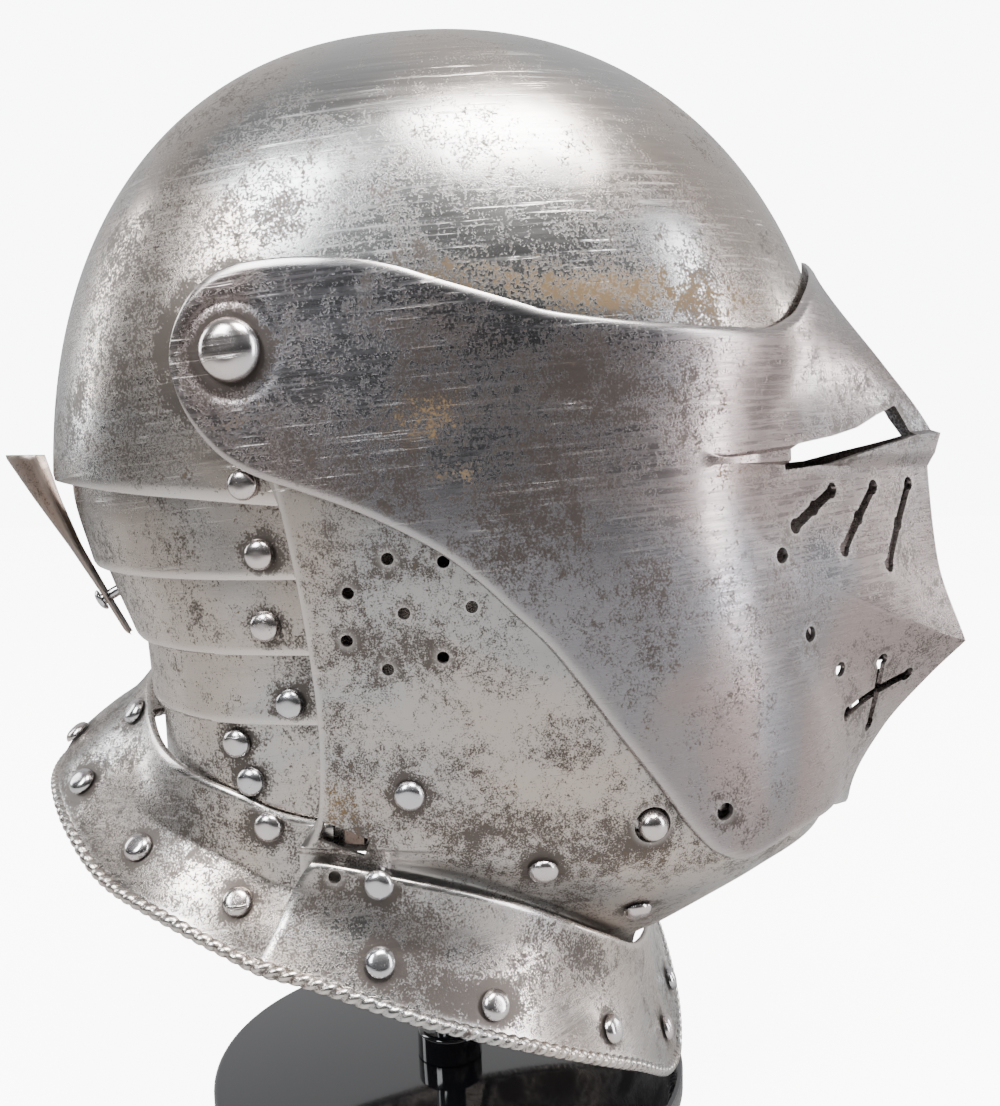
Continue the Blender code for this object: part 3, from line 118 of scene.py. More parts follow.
def smooth(value: np.ndarray, keys: np.ndarray, values: np.ndarray) -> np.ndarray:
    """Monotone cubic through the keys, held level past both ends.

    Each inner tangent is the weighted harmonic mean of the slopes beside it, or zero
    where they differ in sign.

    Args:
        value: Where to read the curve.
        keys: The table's positions, in any order.
        values: The table's values.

    Returns:
        The curve at value.
    """
    order = np.argsort(keys)
    keys = np.asarray(keys, float)[order]
    values = np.asarray(values, float)[order]
    step = np.diff(keys)
    slope = np.diff(values) / step
    tangent = np.concatenate([slope[:1], np.zeros(len(keys) - 2), slope[-1:]])
    if len(keys) > 2:
        before = 2 * step[1:] + step[:-1]
        after = step[1:] + 2 * step[:-1]
        same = slope[:-1] * slope[1:] > 0
        left = np.where(same, slope[:-1], 1.0)
        right = np.where(same, slope[1:], 1.0)
        mean = (before + after) / (before / left + after / right)
        tangent[1:-1] = np.where(same, mean, 0.0)
    value = np.clip(value, keys[0], keys[-1])
    i = np.clip(np.searchsorted(keys, value) - 1, 0, len(keys) - 2)
    t = (value - keys[i]) / step[i]
    return (
        (1 + 2 * t) * (1 - t) ** 2 * values[i]
        + t * (1 - t) ** 2 * step[i] * tangent[i]
        + t * t * (3 - 2 * t) * values[i + 1]
        + t * t * (t - 1) * step[i] * tangent[i + 1]
    )


def creased(value: np.ndarray, rows: Rows, breaks: tuple[float, ...]) -> np.ndarray:
    """A smooth curve inside each stretch of a table, with a sharp bend at each break.

    Args:
        value: Where to read the curve.
        rows: The table, position then value.
        breaks: The positions in the table at which the curve bends.

    Returns:
        The curve at value.
    """
    keys = column(rows, 0)
    values = column(rows, 1)
    stops = [keys.min(), *sorted(breaks), keys.max()]
    value = np.clip(value, stops[0], stops[-1])
    out = np.zeros(np.shape(value))
    for low, high in zip(stops[:-1], stops[1:]):
        part = (keys >= low - 1e-9) & (keys <= high + 1e-9)
        here = (value >= low) & (value <= high)
        out = np.where(here, smooth(value, keys[part], values[part]), out)
    return out


def fade_in(value: np.ndarray) -> np.ndarray:
    """Eases from 0 to 1: three times the square less twice the cube of the clamped value.

    Args:
        value: Any numbers.

    Returns:
        The eased numbers.
    """
    value = np.clip(value, 0, 1)
    return value * value * (3 - 2 * value)


@dataclass(frozen=True)
class HelmetForm:
    """The sections that all plates share, round an upright axis through the pivots."""

    plate: float = 1.5
    running_gap: float = 0.35
    half_width: float = 97.0
    length: float = 232.8
    tall: float = 312.0
    rim_clearance: float = 14.0
    widest_y: float = 34.0
    pivot_y: float = 31.0
    pivot_share: float = 0.693
    section_power: float = 2.3
    back_power: float = 2.15
    bowl_centre_y: float = 2.7
    bowl_centre_share: float = 0.540
    bowl_front_share: float = 0.5133
    bowl_back_share: float = 0.4867
    bowl_power: float = 2.24
    bowl_pole_y: float = 14.0
    open_reach: float = 0.60
    cheek_rows: Rows = (
        # label, side height, front height, half width, front reach
        (0.795, 0.795, 0.795, 1.000, 0.583),
        (0.756, 0.756, 0.756, 1.000, 0.600),
        (0.724, 0.724, 0.724, 1.000, 0.612),
        (0.692, 0.692, 0.692, 1.000, 0.620),
        (0.628, 0.628, 0.628, 1.000, 0.607),
        (0.596, 0.596, 0.596, 1.000, 0.607),
        (0.564, 0.564, 0.564, 0.997, 0.607),
        (0.516, 0.516, 0.516, 0.985, 0.614),
        (0.458, 0.458, 0.458, 0.962, 0.626),
        (0.401, 0.401, 0.401, 0.938, 0.636),
        (0.340, 0.340, 0.340, 0.914, 0.639),
        (0.301, 0.301, 0.301, 0.902, 0.631),
        (0.266, 0.300, 0.266, 0.896, 0.612),
        (0.228, 0.297, 0.228, 0.893, 0.552),
        (0.189, 0.294, 0.189, 0.890, 0.480),
        (0.154, 0.291, 0.154, 0.890, 0.414),
        (0.135, 0.286, 0.135, 0.890, 0.376),
        (0.096, 0.268, 0.096, 0.890, 0.363),
    )

    @property
    def layer(self) -> float:
        """Returns: the step from one nested plate to the next."""
        return self.plate + self.running_gap

    @property
    def pivot_z(self) -> float:
        """Returns: the height of the temple pivots."""
        return float(self.height(self.pivot_share))

    def height(self, share: np.ndarray | float) -> np.ndarray:
        """Turns a share of the helmet's height into a height above the ground.

        Args:
            share: Share of the helmet's height.

        Returns:
            The height.
        """
        return self.rim_clearance + self.tall * np.asarray(share, float)

    def behind_widest(self, share: float) -> float:
        """Turns a share of the length behind the widest section into a y.

        Args:
            share: Share of the helmet's length.

        Returns:
            The y.
        """
        return self.widest_y + self.length * share

    def at_radius(self, angle: np.ndarray, radius: np.ndarray, z: np.ndarray) -> np.ndarray:
        """Points round the upright axis: (r sin a, widest_y - r cos a, z).

        Args:
            angle: Angle from the front.
            radius: Distance from the axis.
            z: Height.

        Returns:
            Points, with x, y and z last.
        """
        x = radius * np.sin(angle)
        y = self.widest_y - radius * np.cos(angle)
        return np.stack(np.broadcast_arrays(x, y, z + 0 * radius), -1)

    def section(
        self, angle: np.ndarray, half_width: np.ndarray, reach: np.ndarray, power: float
    ) -> np.ndarray:
        """Radius of a rounded section: (|sin a|/w)^p + (|cos a|/l)^p to the power -1/p.

        Args:
            angle: Angle from the front.
            half_width: Reach to the side.
            reach: Reach to the front or back.
            power: How square the section is.

        Returns:
            The radius.
        """
        side = np.abs(np.sin(angle)) / half_width
        along = np.abs(np.cos(angle)) / reach
        return (side**power + along**power) ** (-1 / power)

    def bowl_field(self, points: np.ndarray, inset: float) -> np.ndarray:
        """Below 1 inside the bowl drawn in by inset: (|x|/w)^p + (distance/profile)^p.

        Args:
            points: Places to test.
            inset: How far the face is drawn in.

        Returns:
            The field.
        """
        dy = points[..., 1] - self.widest_y
        dz = points[..., 2] - self.pivot_z
        distance = np.hypot(dy, dz)
        way_y = dy / np.maximum(distance, 1e-9)
        way_z = dz / np.maximum(distance, 1e-9)
        centre_z = float(self.height(self.bowl_centre_share))
        crown = self.tall + self.rim_clearance - centre_z
        near = np.zeros_like(distance)
        far = near + self.tall
        for _ in range(24):
            middle = (near + far) / 2
            y = self.widest_y + middle * way_y - self.bowl_centre_y
            z = self.pivot_z + middle * way_z - centre_z
            reach = self.length * np.where(y < 0, self.bowl_front_share, self.bowl_back_share)
            profile = (np.abs(y) / reach) ** self.bowl_power
            inside = profile + (np.abs(z) / crown) ** self.bowl_power < 1
            near = np.where(inside, middle, near)
            far = np.where(inside, far, middle)
        width = np.abs(points[..., 0]) / (self.half_width - inset)
        return width**self.section_power + (distance / (near - inset)) ** self.section_power

    def bowl_ray(self, angle: np.ndarray, tilt: np.ndarray, inset: float) -> np.ndarray:
        """Where a ray from inside the bowl, at an angle and a tilt, meets its face.

        Args:
            angle: Angle from the front.
            tilt: Angle above the level.
            inset: How far the face is drawn in.

        Returns:
            The points.
        """
        centre = np.array([0.0, self.bowl_pole_y, self.pivot_z])
        level = np.cos(tilt)
        way = np.stack(
            [np.sin(angle) * level, -np.cos(angle) * level, np.sin(tilt) + 0 * angle], -1
        )
        near = np.zeros(np.broadcast(angle, tilt).shape)
        far = near + 2 * self.half_width + self.length / 2
        for _ in range(22):
            middle = (near + far) / 2
            inside = self.bowl_field(centre + way * middle[..., None], inset) < 1
            near = np.where(inside, middle, near)
            far = np.where(inside, far, middle)
        return centre + way * near[..., None]

    def bowl_face(
        self, angle: np.ndarray, edge: np.ndarray, rows: int, inset: float
    ) -> np.ndarray:
        """The bowl's face from its lower edge up to the crown.

        Args:
            angle: Angle of each column from the front.
            edge: Height of the lower edge in each column.
            rows: Number of rows.
            inset: How far the face is drawn in.

        Returns:
            A grid of points, columns by rows.
        """
        low = np.full_like(angle, -0.9)
        high = np.full_like(angle, 1.2)
        for _ in range(20):
            tilt = (low + high) / 2
            under = self.bowl_ray(angle, tilt, inset)[..., 2] < edge
            low = np.where(under, tilt, low)
            high = np.where(under, high, tilt)
        share = np.linspace(0, 1, rows)[None, :]
        tilt = low[:, None] + (math.pi / 2 - low[:, None]) * share
        return self.bowl_ray(angle[:, None] + 0 * tilt, tilt, inset)

    def cheek_sizes(self, label: np.ndarray, layer: np.ndarray | float) -> tuple:
        """Half width, front reach and the two heights of the cheek form.

        Args:
            label: Height label.
            layer: How far the face stands out.

        Returns:
            Half width, reach, height at the side and height at the front.
        """
        labels = column(self.cheek_rows, 0)
        side = self.height(smooth(label, labels, column(self.cheek_rows, 1)))
        front = self.height(smooth(label, labels, column(self.cheek_rows, 2)))
        width = self.half_width * smooth(label, labels, column(self.cheek_rows, 3)) + layer
        reach = self.length * smooth(label, labels, column(self.cheek_rows, 4)) + layer
        return width, reach, side, front

    def cheek_face(self, angle: np.ndarray, label: np.ndarray, layer: float) -> np.ndarray:
        """The rounded face that the bevor follows, flat behind the pivot.

        Args:
            angle: Angle from the front.
            label: Height label.
            layer: How far the face stands out.

        Returns:
            The points.
        """
        half_width, reach, side, front = self.cheek_sizes(label, layer)
        radius = self.section(angle, half_width, reach, self.section_power)
        flat = half_width / np.maximum(np.abs(np.sin(angle)), 0.3)
        radius = np.where(np.abs(angle) > math.pi / 2, flat, radius)
        mix = np.maximum(np.cos(angle), 0) ** 3
        return self.at_radius(angle, radius, side + (front - side) * mix)


FORM = HelmetForm()


def normals_of(grid: np.ndarray) -> np.ndarray:
    """Unit normals of a grid, pointing away from the upright axis.

    Args:
        grid: Points, columns by rows.

    Returns:
        A normal for each point.
    """
    along = np.gradient(grid, axis=0)
    down = np.gradient(grid, axis=1)
    normal = np.cross(along, down)
    normal /= np.maximum(np.linalg.norm(normal, axis=-1, keepdims=True), 1e-9)
    out = grid - np.array([0.0, FORM.widest_y, 0.0])
    out[..., 2] = np.maximum(grid[..., 2] - FORM.pivot_z, 0)
    turn = np.sign((normal * out).sum(-1, keepdims=True))
    return normal * np.where(turn == 0, 1, turn)


def run_along(grid: np.ndarray, axis: int) -> tuple[np.ndarray, np.ndarray]:
    """Distance of each grid point from the two ends of its row or column.

    Args:
        grid: Points, columns by rows.
        axis: 0 to run across the columns, 1 to run down the rows.

    Returns:
        The distance from the first end and from the last.
    """
    step = np.linalg.norm(np.diff(grid, axis=axis), axis=-1)
    start = np.zeros_like(np.take(step, [0], axis=axis))
    run = np.concatenate([start, np.cumsum(step, axis=axis)], axis=axis)
    return run, np.take(run, [-1], axis=axis) - run


@dataclass
class Easing:
    """How a plate's outer face draws in towards its edges."""

    width: float = 1.3
    depth: float = 0.35
    first_row: float = 1.0
    last_row: float = 1.0
    ends: float = 1.0

    def apply(self, outer: np.ndarray, around: bool) -> np.ndarray:
        """Draws the face in by depth times (1 - distance/width) squared.

        Args:
            outer: The outer grid.
            around: Whether the columns close into a ring.

        Returns:
            The eased grid.
        """
        first, last = run_along(outer, 1)
        pull = np.zeros(outer.shape[:2])
        for weight, run in ((self.first_row, first), (self.last_row, last)):
            width = self.width * max(weight, 1.0)
            pull = np.maximum(pull, weight * np.clip(1 - run / width, 0, 1) ** 2)
        if not around:
            one, other = run_along(outer, 0)
            near = np.minimum(one, other)
            pull = np.maximum(pull, self.ends * np.clip(1 - near / self.width, 0, 1) ** 2)
        return outer - normals_of(outer) * (self.depth * pull)[..., None]


def nearest(points: np.ndarray, marks: np.ndarray) -> np.ndarray:
    """Distance from each point to the nearest mark.

    Args:
        points: Places to measure from.
        marks: Places to measure to.

    Returns:
        The distances.
    """
    out = np.empty(len(points))
    squares = (marks**2).sum(1)
    for start in range(0, len(points), 20000):
        part = points[start : start + 20000]
        square = (part**2).sum(1)[:, None] + squares[None, :] - 2 * part @ marks.T
        out[start : start + 20000] = np.sqrt(np.maximum(square.min(1), 0))
    return out


def mesh_object(name: str, points: np.ndarray, faces: list, sharp: float = 38.0) -> bpy.types.Object:
    """Makes a smooth-shaded object at the origin, with its place in its mesh.

    Args:
        name: The object's name.
        points: Corners in millimetres.
        faces: Corner indices of each face.
        sharp: Angle in degrees beyond which an edge shows sharp.

    Returns:
        The object.
    """
    mesh = bpy.data.meshes.new(name)
    mesh.from_pydata((np.asarray(points) * MM).tolist(), [], faces)
    mesh.validate()
    mesh.shade_smooth()
    mesh.set_sharp_from_angle(angle=math.radians(sharp))
    obj = bpy.data.objects.new(name, mesh)
    bpy.context.scene.collection.objects.link(obj)
    return obj


def corners_in(mesh: bpy.types.Mesh) -> np.ndarray:
    """Reads a mesh's corners, in metres.

    Args:
        mesh: The mesh.

    Returns:
        The corners, one to a row.
    """
    points = np.empty(len(mesh.vertices) * 3)
    mesh.vertices.foreach_get("co", points)
    return points.reshape(-1, 3)


def grid_faces(columns: int, count: int, around: bool) -> list:
    """Quads of a grid whose rows close into a ring.

    Args:
        columns: Number of columns.
        count: Number of points in each column's ring.
        around: Whether the columns close too.

    Returns:
        The faces.
    """
    i = np.arange(columns if around else columns - 1)[:, None]
    k = np.arange(count)[None, :]
    j = (i + 1) % columns
    m = (k + 1) % count
    quads = np.stack([i * count + k, i * count + m, j * count + m, j * count + k], -1)
    return quads.reshape(-1, 4).tolist()


@dataclass
class Plate:
    """A closed plate between a fine outer face and a coarser inner one."""

    name: str
    outer: np.ndarray
    inner: np.ndarray
    easing: Easing = field(default_factory=Easing)
    around: bool = False
    pole: bool = False
    inner_step: int = 8

    def border(self) -> np.ndarray:
        """Returns: marks along the plate's edges."""
        edges = [self.outer[:, 0], self.outer[:, -1]]
        if self.pole:
            edges = [self.outer[:, 0]]
        if not self.around:
            edges += [self.outer[0], self.outer[-1]]
        marks = np.concatenate(edges)
        middle = (marks[1:] + marks[:-1]) / 2
        close = np.linalg.norm(np.diff(marks, axis=0), axis=1) < 6
        return np.concatenate([marks, middle[close]])

    def build(self) -> bpy.types.Object:
        """Joins both faces with rounded rims into one closed mesh.

        Returns:
            The plate's object.
        """
        outer = self.easing.apply(self.outer, self.around)
        rows = outer.shape[1]
        picks = list(range(0, rows - 1, self.inner_step)) + [rows - 1]
        inner = self.inner[:, picks]
        if self.pole:
            ring = np.concatenate([outer[:, :-1], inner[:, -2::-1]], axis=1)
            return self._with_pole(ring, outer[:, :-1].shape[1], outer, inner)
        loops = [outer, self._rim(outer, inner, -1), inner[:, ::-1], self._rim(outer, inner, 0)]
        ring = np.concatenate(loops, axis=1)
        columns, count = ring.shape[:2]
        faces = grid_faces(columns, count, self.around)
        if not self.around:
            first = self._end_cap(0, rows, len(picks), count, picks)
            faces += [face[::-1] for face in first]
            faces += self._end_cap(columns - 1, rows, len(picks), count, picks)
        obj = mesh_object(self.name, ring.reshape(-1, 3), faces)
        face_outward(obj)
        return obj

    def _rim(self, outer: np.ndarray, inner: np.ndarray, row: int) -> np.ndarray:
        """Three points that round the rim off between the two faces.

        Args:
            outer: The outer grid.
            inner: The inner grid.
            row: 0 for the first row, -1 for the last.

        Returns:
            Points for each column, in the ring's order.
        """
        step = 1 if row == 0 else -2
        first, second = outer[:, row], inner[:, row]
        away = outer[:, row] - outer[:, step]
        away /= np.maximum(np.linalg.norm(away, axis=-1, keepdims=True), 1e-9)
        middle = (first + second) / 2
        half = (first - second) / 2
        bulge = 0.3 * np.linalg.norm(half, axis=-1, keepdims=True)
        arc = []
        for turn in (45, 90, 135):
            side = math.cos(math.radians(turn))
            arc.append(middle + side * half + bulge * math.sin(math.radians(turn)) * away)
        points = np.stack(arc, axis=1)
        return points if row == -1 else points[:, ::-1]

    def _end_cap(self, at: int, rows: int, inner_rows: int, count: int, picks: list) -> list:
        """Faces that close the plate at its first or last column.

        Args:
            at: The column.
            rows: Rows of the outer face.
            inner_rows: Rows of the inner face.
            count: Points in the column's ring.
            picks: The outer row beside each inner row.

        Returns:
            The faces.
        """
        base = at * count
        inner_at = [base + rows + 3 + inner_rows - 1 - j for j in range(inner_rows)]
        faces = []
        for j in range(inner_rows - 1):
            outside = [base + k for k in range(picks[j], picks[j + 1] + 1)]
            faces.append(outside + [inner_at[j + 1], inner_at[j]])
        last = [base + rows - 1] + [base + rows + k for k in range(3)] + [inner_at[-1]]
        first = [inner_at[0]] + [base + count - 3 + k for k in range(3)] + [base]
        return faces + [last, first]

    def _with_pole(
        self, ring: np.ndarray, rows: int, outer: np.ndarray, inner: np.ndarray
    ) -> bpy.types.Object:
        """A ring-shaped bowl whose two faces each close at a pole.

        Args:
            ring: Both faces' points in each column, without the poles.
            rows: Rows of the outer face.
            outer: The outer grid.
            inner: The inner grid.

        Returns:
            The bowl's object.
        """
        rim = self._rim(outer[:, ::-1], inner[:, ::-1], -1)[:, ::-1]
        ring = np.concatenate([ring, rim], axis=1)
        columns, count = ring.shape[:2]
        faces = [f for f in grid_faces(columns, count, True) if f[0] % count != rows - 1]
        points = ring.reshape(-1, 3)
        top = len(points)
        points = np.vstack([points, outer[:, -1].mean(0), inner[:, -1].mean(0)])
        for i in range(columns):
            j = (i + 1) % columns
            faces.append([i * count + rows - 1, top, j * count + rows - 1])
            faces.append([i * count + rows, j * count + rows, top + 1])
        obj = mesh_object(self.name, points, faces)
        face_outward(obj)
        return obj


def face_outward(obj: bpy.types.Object) -> None:
    """Turns a closed mesh's faces outward.

    Args:
        obj: The object.
    """
    mesh = obj.data
    mesh.calc_loop_triangles()
    corners = corners_in(mesh)
    tris = np.empty(len(mesh.loop_triangles) * 3, np.int64)
    mesh.loop_triangles.foreach_get("vertices", tris)
    a, b, c = corners[tris.reshape(-1, 3)].transpose(1, 0, 2)
    if (a * np.cross(b, c)).sum() < 0:
        mesh.flip_normals()


@dataclass
class Piercing:
    """Cuts prisms out of a plate, and keeps the outlines' places for its dressing."""

    shapes: list = field(default_factory=list)
    outlines: list = field(default_factory=list)

    def add(self, outline: np.ndarray, normal: np.ndarray, reach: float = 6.0) -> None:
        """Adds one prism.

        Args:
            outline: Corners in space.
            normal: The way the prism runs.
            reach: How far it runs each way.
        """
        outline = np.asarray(outline, float)
        ends = np.concatenate([outline - normal * reach, outline + normal * reach])
        self.shapes.append(ends)
        closed = np.concatenate([outline, outline[:1]])
        steps = np.linspace(0, 1, 4, endpoint=False)[:, None, None]
        marks = closed[None, :-1] + steps * (closed[None, 1:] - closed[None, :-1])
        self.outlines.append(marks.reshape(-1, 3))

    def add_both(self, outline: np.ndarray, normal: np.ndarray, reach: float = 6.0) -> None:
        """Adds one prism and its mirror on the other side.

        Args:
            outline: Corners in space.
            normal: The way the prism runs.
            reach: How far it runs each way.
        """
        mirror = np.array([-1.0, 1.0, 1.0])
        self.add(outline, normal, reach)
        self.add(np.asarray(outline) * mirror, np.asarray(normal) * mirror, reach)

    def cut(self, obj: bpy.types.Object) -> None:
        """Cuts all prisms from an object and applies the cut.

        Args:
            obj: The plate.
        """
        points = []
        faces = []
        base = 0
        for ends in self.shapes:
            count = len(ends) // 2
            points.append(ends)
            faces.append([base + k for k in range(count)][::-1])
            faces.append([base + count + k for k in range(count)])
            for i in range(count):
                j = (i + 1) % count
                faces.append([base + i, base + j, base + count + j, base + count + i])
            volume = prism_volume(ends)
            if volume < 0:
                faces[-count - 2 :] = [face[::-1] for face in faces[-count - 2 :]]
            base += len(ends)
        tool = mesh_object("cut_" + obj.name, np.concatenate(points), faces)
        modifier = obj.modifiers.new("pierced", "BOOLEAN")
        modifier.operation = "DIFFERENCE"
        modifier.solver = "EXACT"
        modifier.object = tool
        graph = bpy.context.evaluated_depsgraph_get()
        pierced = bpy.data.meshes.new_from_object(obj.evaluated_get(graph))
        obj.modifiers.clear()
        old = obj.data
        obj.data = pierced
        bpy.data.meshes.remove(old)
        tool_mesh = tool.data
        bpy.data.objects.remove(tool)
        bpy.data.meshes.remove(tool_mesh)
        obj.data.shade_smooth()
        obj.data.set_sharp_from_angle(angle=math.radians(38))


def prism_volume(ends: np.ndarray) -> float:
    """Signed size of a prism: the outline's turning dotted with the way it runs.

    Args:
        ends: Corners of the lower outline, then of the upper one.

    Returns:
        Above 0 where the lower outline turns left about the way up.
    """
    count = len(ends) // 2
    low = ends[:count]
    middle = low.mean(0)
    turned = np.cross(low - middle, np.roll(low, -1, axis=0) - middle).sum(0)
    return float(turned @ (ends[count] - ends[0]))


def frame_at(normal: np.ndarray) -> tuple[np.ndarray, np.ndarray, np.ndarray]:
    """Two directions across a normal, the first as level as can be.

    Args:
        normal: The normal.

    Returns:
        The level direction, the upward one and the unit normal.
    """
    normal = np.asarray(normal, float) / np.linalg.norm(normal)
    level = np.cross(normal, (0.0, 0.0, 1.0))
    if np.linalg.norm(level) < 0.1:
        level = np.array([1.0, 0.0, 0.0])
    level /= np.linalg.norm(level)
    return level, np.cross(level, normal), normal


def circle_on(point: np.ndarray, normal: np.ndarray, radius: float, sides: int = 28) -> np.ndarray:
    """A ring of points round a place on a face.

    Args:
        point: The middle.
        normal: The face's normal.
        radius: The ring's radius.
        sides: Number of points.

    Returns:
        The points.
    """
    level, upward, _ = frame_at(normal)
    turn = np.linspace(0, 2 * math.pi, sides, endpoint=False)[:, None]
    return point + radius * (np.cos(turn) * level + np.sin(turn) * upward)


def place_on(face: Face, degrees: float, share: float) -> Place:
    """A point of a face and its outward normal.

    Args:
        face: The face, by angle and share.
        degrees: Angle from the front.
        share: The face's second argument.

    Returns:
        The point and the normal.
    """
    angle = math.radians(degrees)
    here = face(np.array(angle), np.array(share))
    ahead = face(np.array(angle + 0.01), np.array(share))
    ahead = ahead - face(np.array(angle - 0.01), np.array(share))
    down = face(np.array(angle), np.array(share + 0.004))
    down = down - face(np.array(angle), np.array(share - 0.004))
    normal = np.cross(ahead, down)
    normal /= np.linalg.norm(normal)
    if normal @ (here - np.array([0, FORM.widest_y, here[2]])) < 0:
        normal = -normal
    return here, normal


def slot_outline(length: float, end_radius: float, bar: float, middle: bool) -> np.ndarray:
    """A narrow bar along the first axis, with round holes at its ends and middle.

    Args:
        length: Distance between the end holes.
        end_radius: Radius of the holes.
        bar: Half width of the bar.
        middle: Whether the middle has a hole too.

    Returns:
        The outline, along and across.
    """
    bite = math.asin(bar / end_radius)
    stops = [0.0, length / 2, length] if middle else [0.0, length]
    side = []
    for i, stop in enumerate(stops):
        first = math.pi if i == 0 else math.pi - bite
        last = 0.0 if i == len(stops) - 1 else bite
        turn = np.linspace(first, last, 10)
        side.append(np.stack([stop + end_radius * np.cos(turn), end_radius * np.sin(turn)], -1))
    upper = np.concatenate(side)
    lower = upper[::-1][1:-1] * np.array([1.0, -1.0])
    return np.concatenate([upper, lower])


@dataclass(frozen=True)
class SoftPatch:
    """A soft-edged patch on both sides of the helmet."""

    y: float
    z: float
    reach_y: float
    reach_z: float
    amount: float

    def weight(self, points: np.ndarray) -> np.ndarray:
        """amount times e to minus the squared distance over the reach, side on.

        Args:
            points: Places to weigh.

        Returns:
            The weights.
        """
        far = ((points[:, 1] - self.y) / self.reach_y) ** 2
        far = far + ((points[:, 2] - self.z) / self.reach_z) ** 2
        return self.amount * np.exp(-far)


@dataclass
class Ageing:
    """Where a plate is worn bright, ringed with grime, dulled by tarnishing and rusty; its lighter
    patches are painted highlights, and its ring round the skull's temple pivot is a painted shadow of
    the lobes.
    """

    border: np.ndarray | None = None
    outlines: list = field(default_factory=list)
    rivets: list = field(default_factory=list)
    tarnish_and_highlight: tuple[SoftPatch, ...] = ()
    rust: tuple[SoftPatch, ...] = ()
    wear_width: float = 1.1
    halo_width: float = 2.2

    def paint(self, obj: bpy.types.Object) -> None:
        """Stores the four masks on the mesh's points.

        Wear falls off with the squared distance from an edge. A halo does from a rivet's
        seat or a hole.

        Args:
            obj: The piece.
        """
        mesh = obj.data
        points = corners_in(mesh) / MM
        wear = np.zeros(len(points))
        halo = np.zeros(len(points))
        if self.border is not None:
            distance = nearest(points, self.border)
            wear = np.exp(-((distance / self.wear_width) ** 2))
        if self.outlines:
            distance = nearest(points, np.concatenate(self.outlines))
            wear = np.maximum(wear, 0.5 * np.exp(-((distance / 0.9) ** 2)))
            halo = np.maximum(halo, 0.8 * np.exp(-((distance / self.halo_width) ** 2)))
        for place, radius in self.rivets:
            distance = nearest(points, np.asarray(place)[None, :])
            ring = np.maximum(distance - radius, 0)
            halo = np.maximum(halo, np.exp(-((ring / self.halo_width) ** 2)))
        tarnish_and_highlight = np.zeros(len(points))
        for patch in self.tarnish_and_highlight:
            tarnish_and_highlight += patch.weight(points)
        rust = np.zeros(len(points))
        for patch in self.rust:
            rust += patch.weight(points)
        masks = {"wear": wear, "halo": halo, "tarnish_and_highlight": tarnish_and_highlight, "rust": rust}
        for name, values in masks.items():
            layer = mesh.attributes.new(name, "FLOAT", "POINT")
            layer.data.foreach_set("value", np.clip(values, -1, 1).astype(np.float32))


class Side(Enum):
    """The two sides of the helmet, with the sign of their x."""

    RIGHT = -1
    LEFT = 1


def mirrored(place: Place, side: Side) -> Place:
    """Puts a place and its normal on one side of the helmet.

    Args:
        place: A point and its normal.
        side: Which side.

    Returns:
        The point and the normal there.
    """
    point, normal = place
    turn = np.array([side.value * np.sign(point[0]), 1.0, 1.0])
    return point * turn, normal * turn


@dataclass(frozen=True)
class RivetShape:
    """A turned rivet: domed head, shank and peened tail."""

    radius: float = 3.9
    rise: float = 2.4
    seat: float = 0.5
    shank: float = 1.6
    tail: float = 2.6
    tail_thickness: float = 1.2
    sides: int = 40

    def profile(self, depth: float | None, play: float = 0.6) -> np.ndarray:
        """Radius and height of each step, from the tail to the top of the head.

        The head is a quarter ellipse with a short upright foot, a little flattened on top.

        Args:
            depth: Thickness between the head's seat and the tail, or None for a head alone.
            play: The gap over the tail.

        Returns:
            Rows of radius and height.
        """
        rows = []
        if depth is None:
            rows = [(0.0, self.seat), (self.radius * 0.96, self.seat)]
        else:
            under = -depth - play
            rows = [(0.0, under - self.tail_thickness)]
            rows += [(self.tail * 0.8, under - self.tail_thickness)]
            rows += [(self.tail, under - self.tail_thickness * 0.5), (self.tail, under)]
            rows += [(self.shank, under), (self.shank, self.seat)]
            rows += [(self.radius * 0.96, self.seat)]
        for turn in np.radians(np.linspace(4, 90, 16)):
            flat = 1 - 0.10 * math.sin(turn) ** 8
            high = self.seat + self.rise * math.sin(turn) * flat
            rows.append((self.radius * math.cos(turn) ** 0.92 if turn < 1.57 else 0.0, high))
        return np.array(rows)


def turned_mesh(profile: np.ndarray, place: Place, sides: int) -> tuple[np.ndarray, list]:
    """Points and faces of a solid turned about a normal.

    Args:
        profile: Rows of radius and height.
        place: The point and the normal that it is turned about.
        sides: Number of sides.

    Returns:
        The points and the faces.
    """
    point, normal = place
    level, upward, normal = frame_at(normal)
    turn = np.linspace(0, 2 * math.pi, sides, endpoint=False)
    around = np.cos(turn)[:, None] * level + np.sin(turn)[:, None] * upward
    inner = profile[1:-1]
    rings = point + inner[:, 0, None, None] * around + inner[:, 1, None, None] * normal
    points = [rings.reshape(-1, 3)]
    points.append((point + profile[0, 1] * normal)[None, :])
    points.append((point + profile[-1, 1] * normal)[None, :])
    count = len(inner)
    low, high = count * sides, count * sides + 1
    faces = []
    for i in range(sides):
        j = (i + 1) % sides
        for k in range(count - 1):
            a, b = k * sides, (k + 1) * sides
            faces.append([a + i, a + j, b + j, b + i])
        faces.append([low, j, i])
        top = (count - 1) * sides
        faces.append([high, top + i, top + j])
    return np.concatenate(points), faces


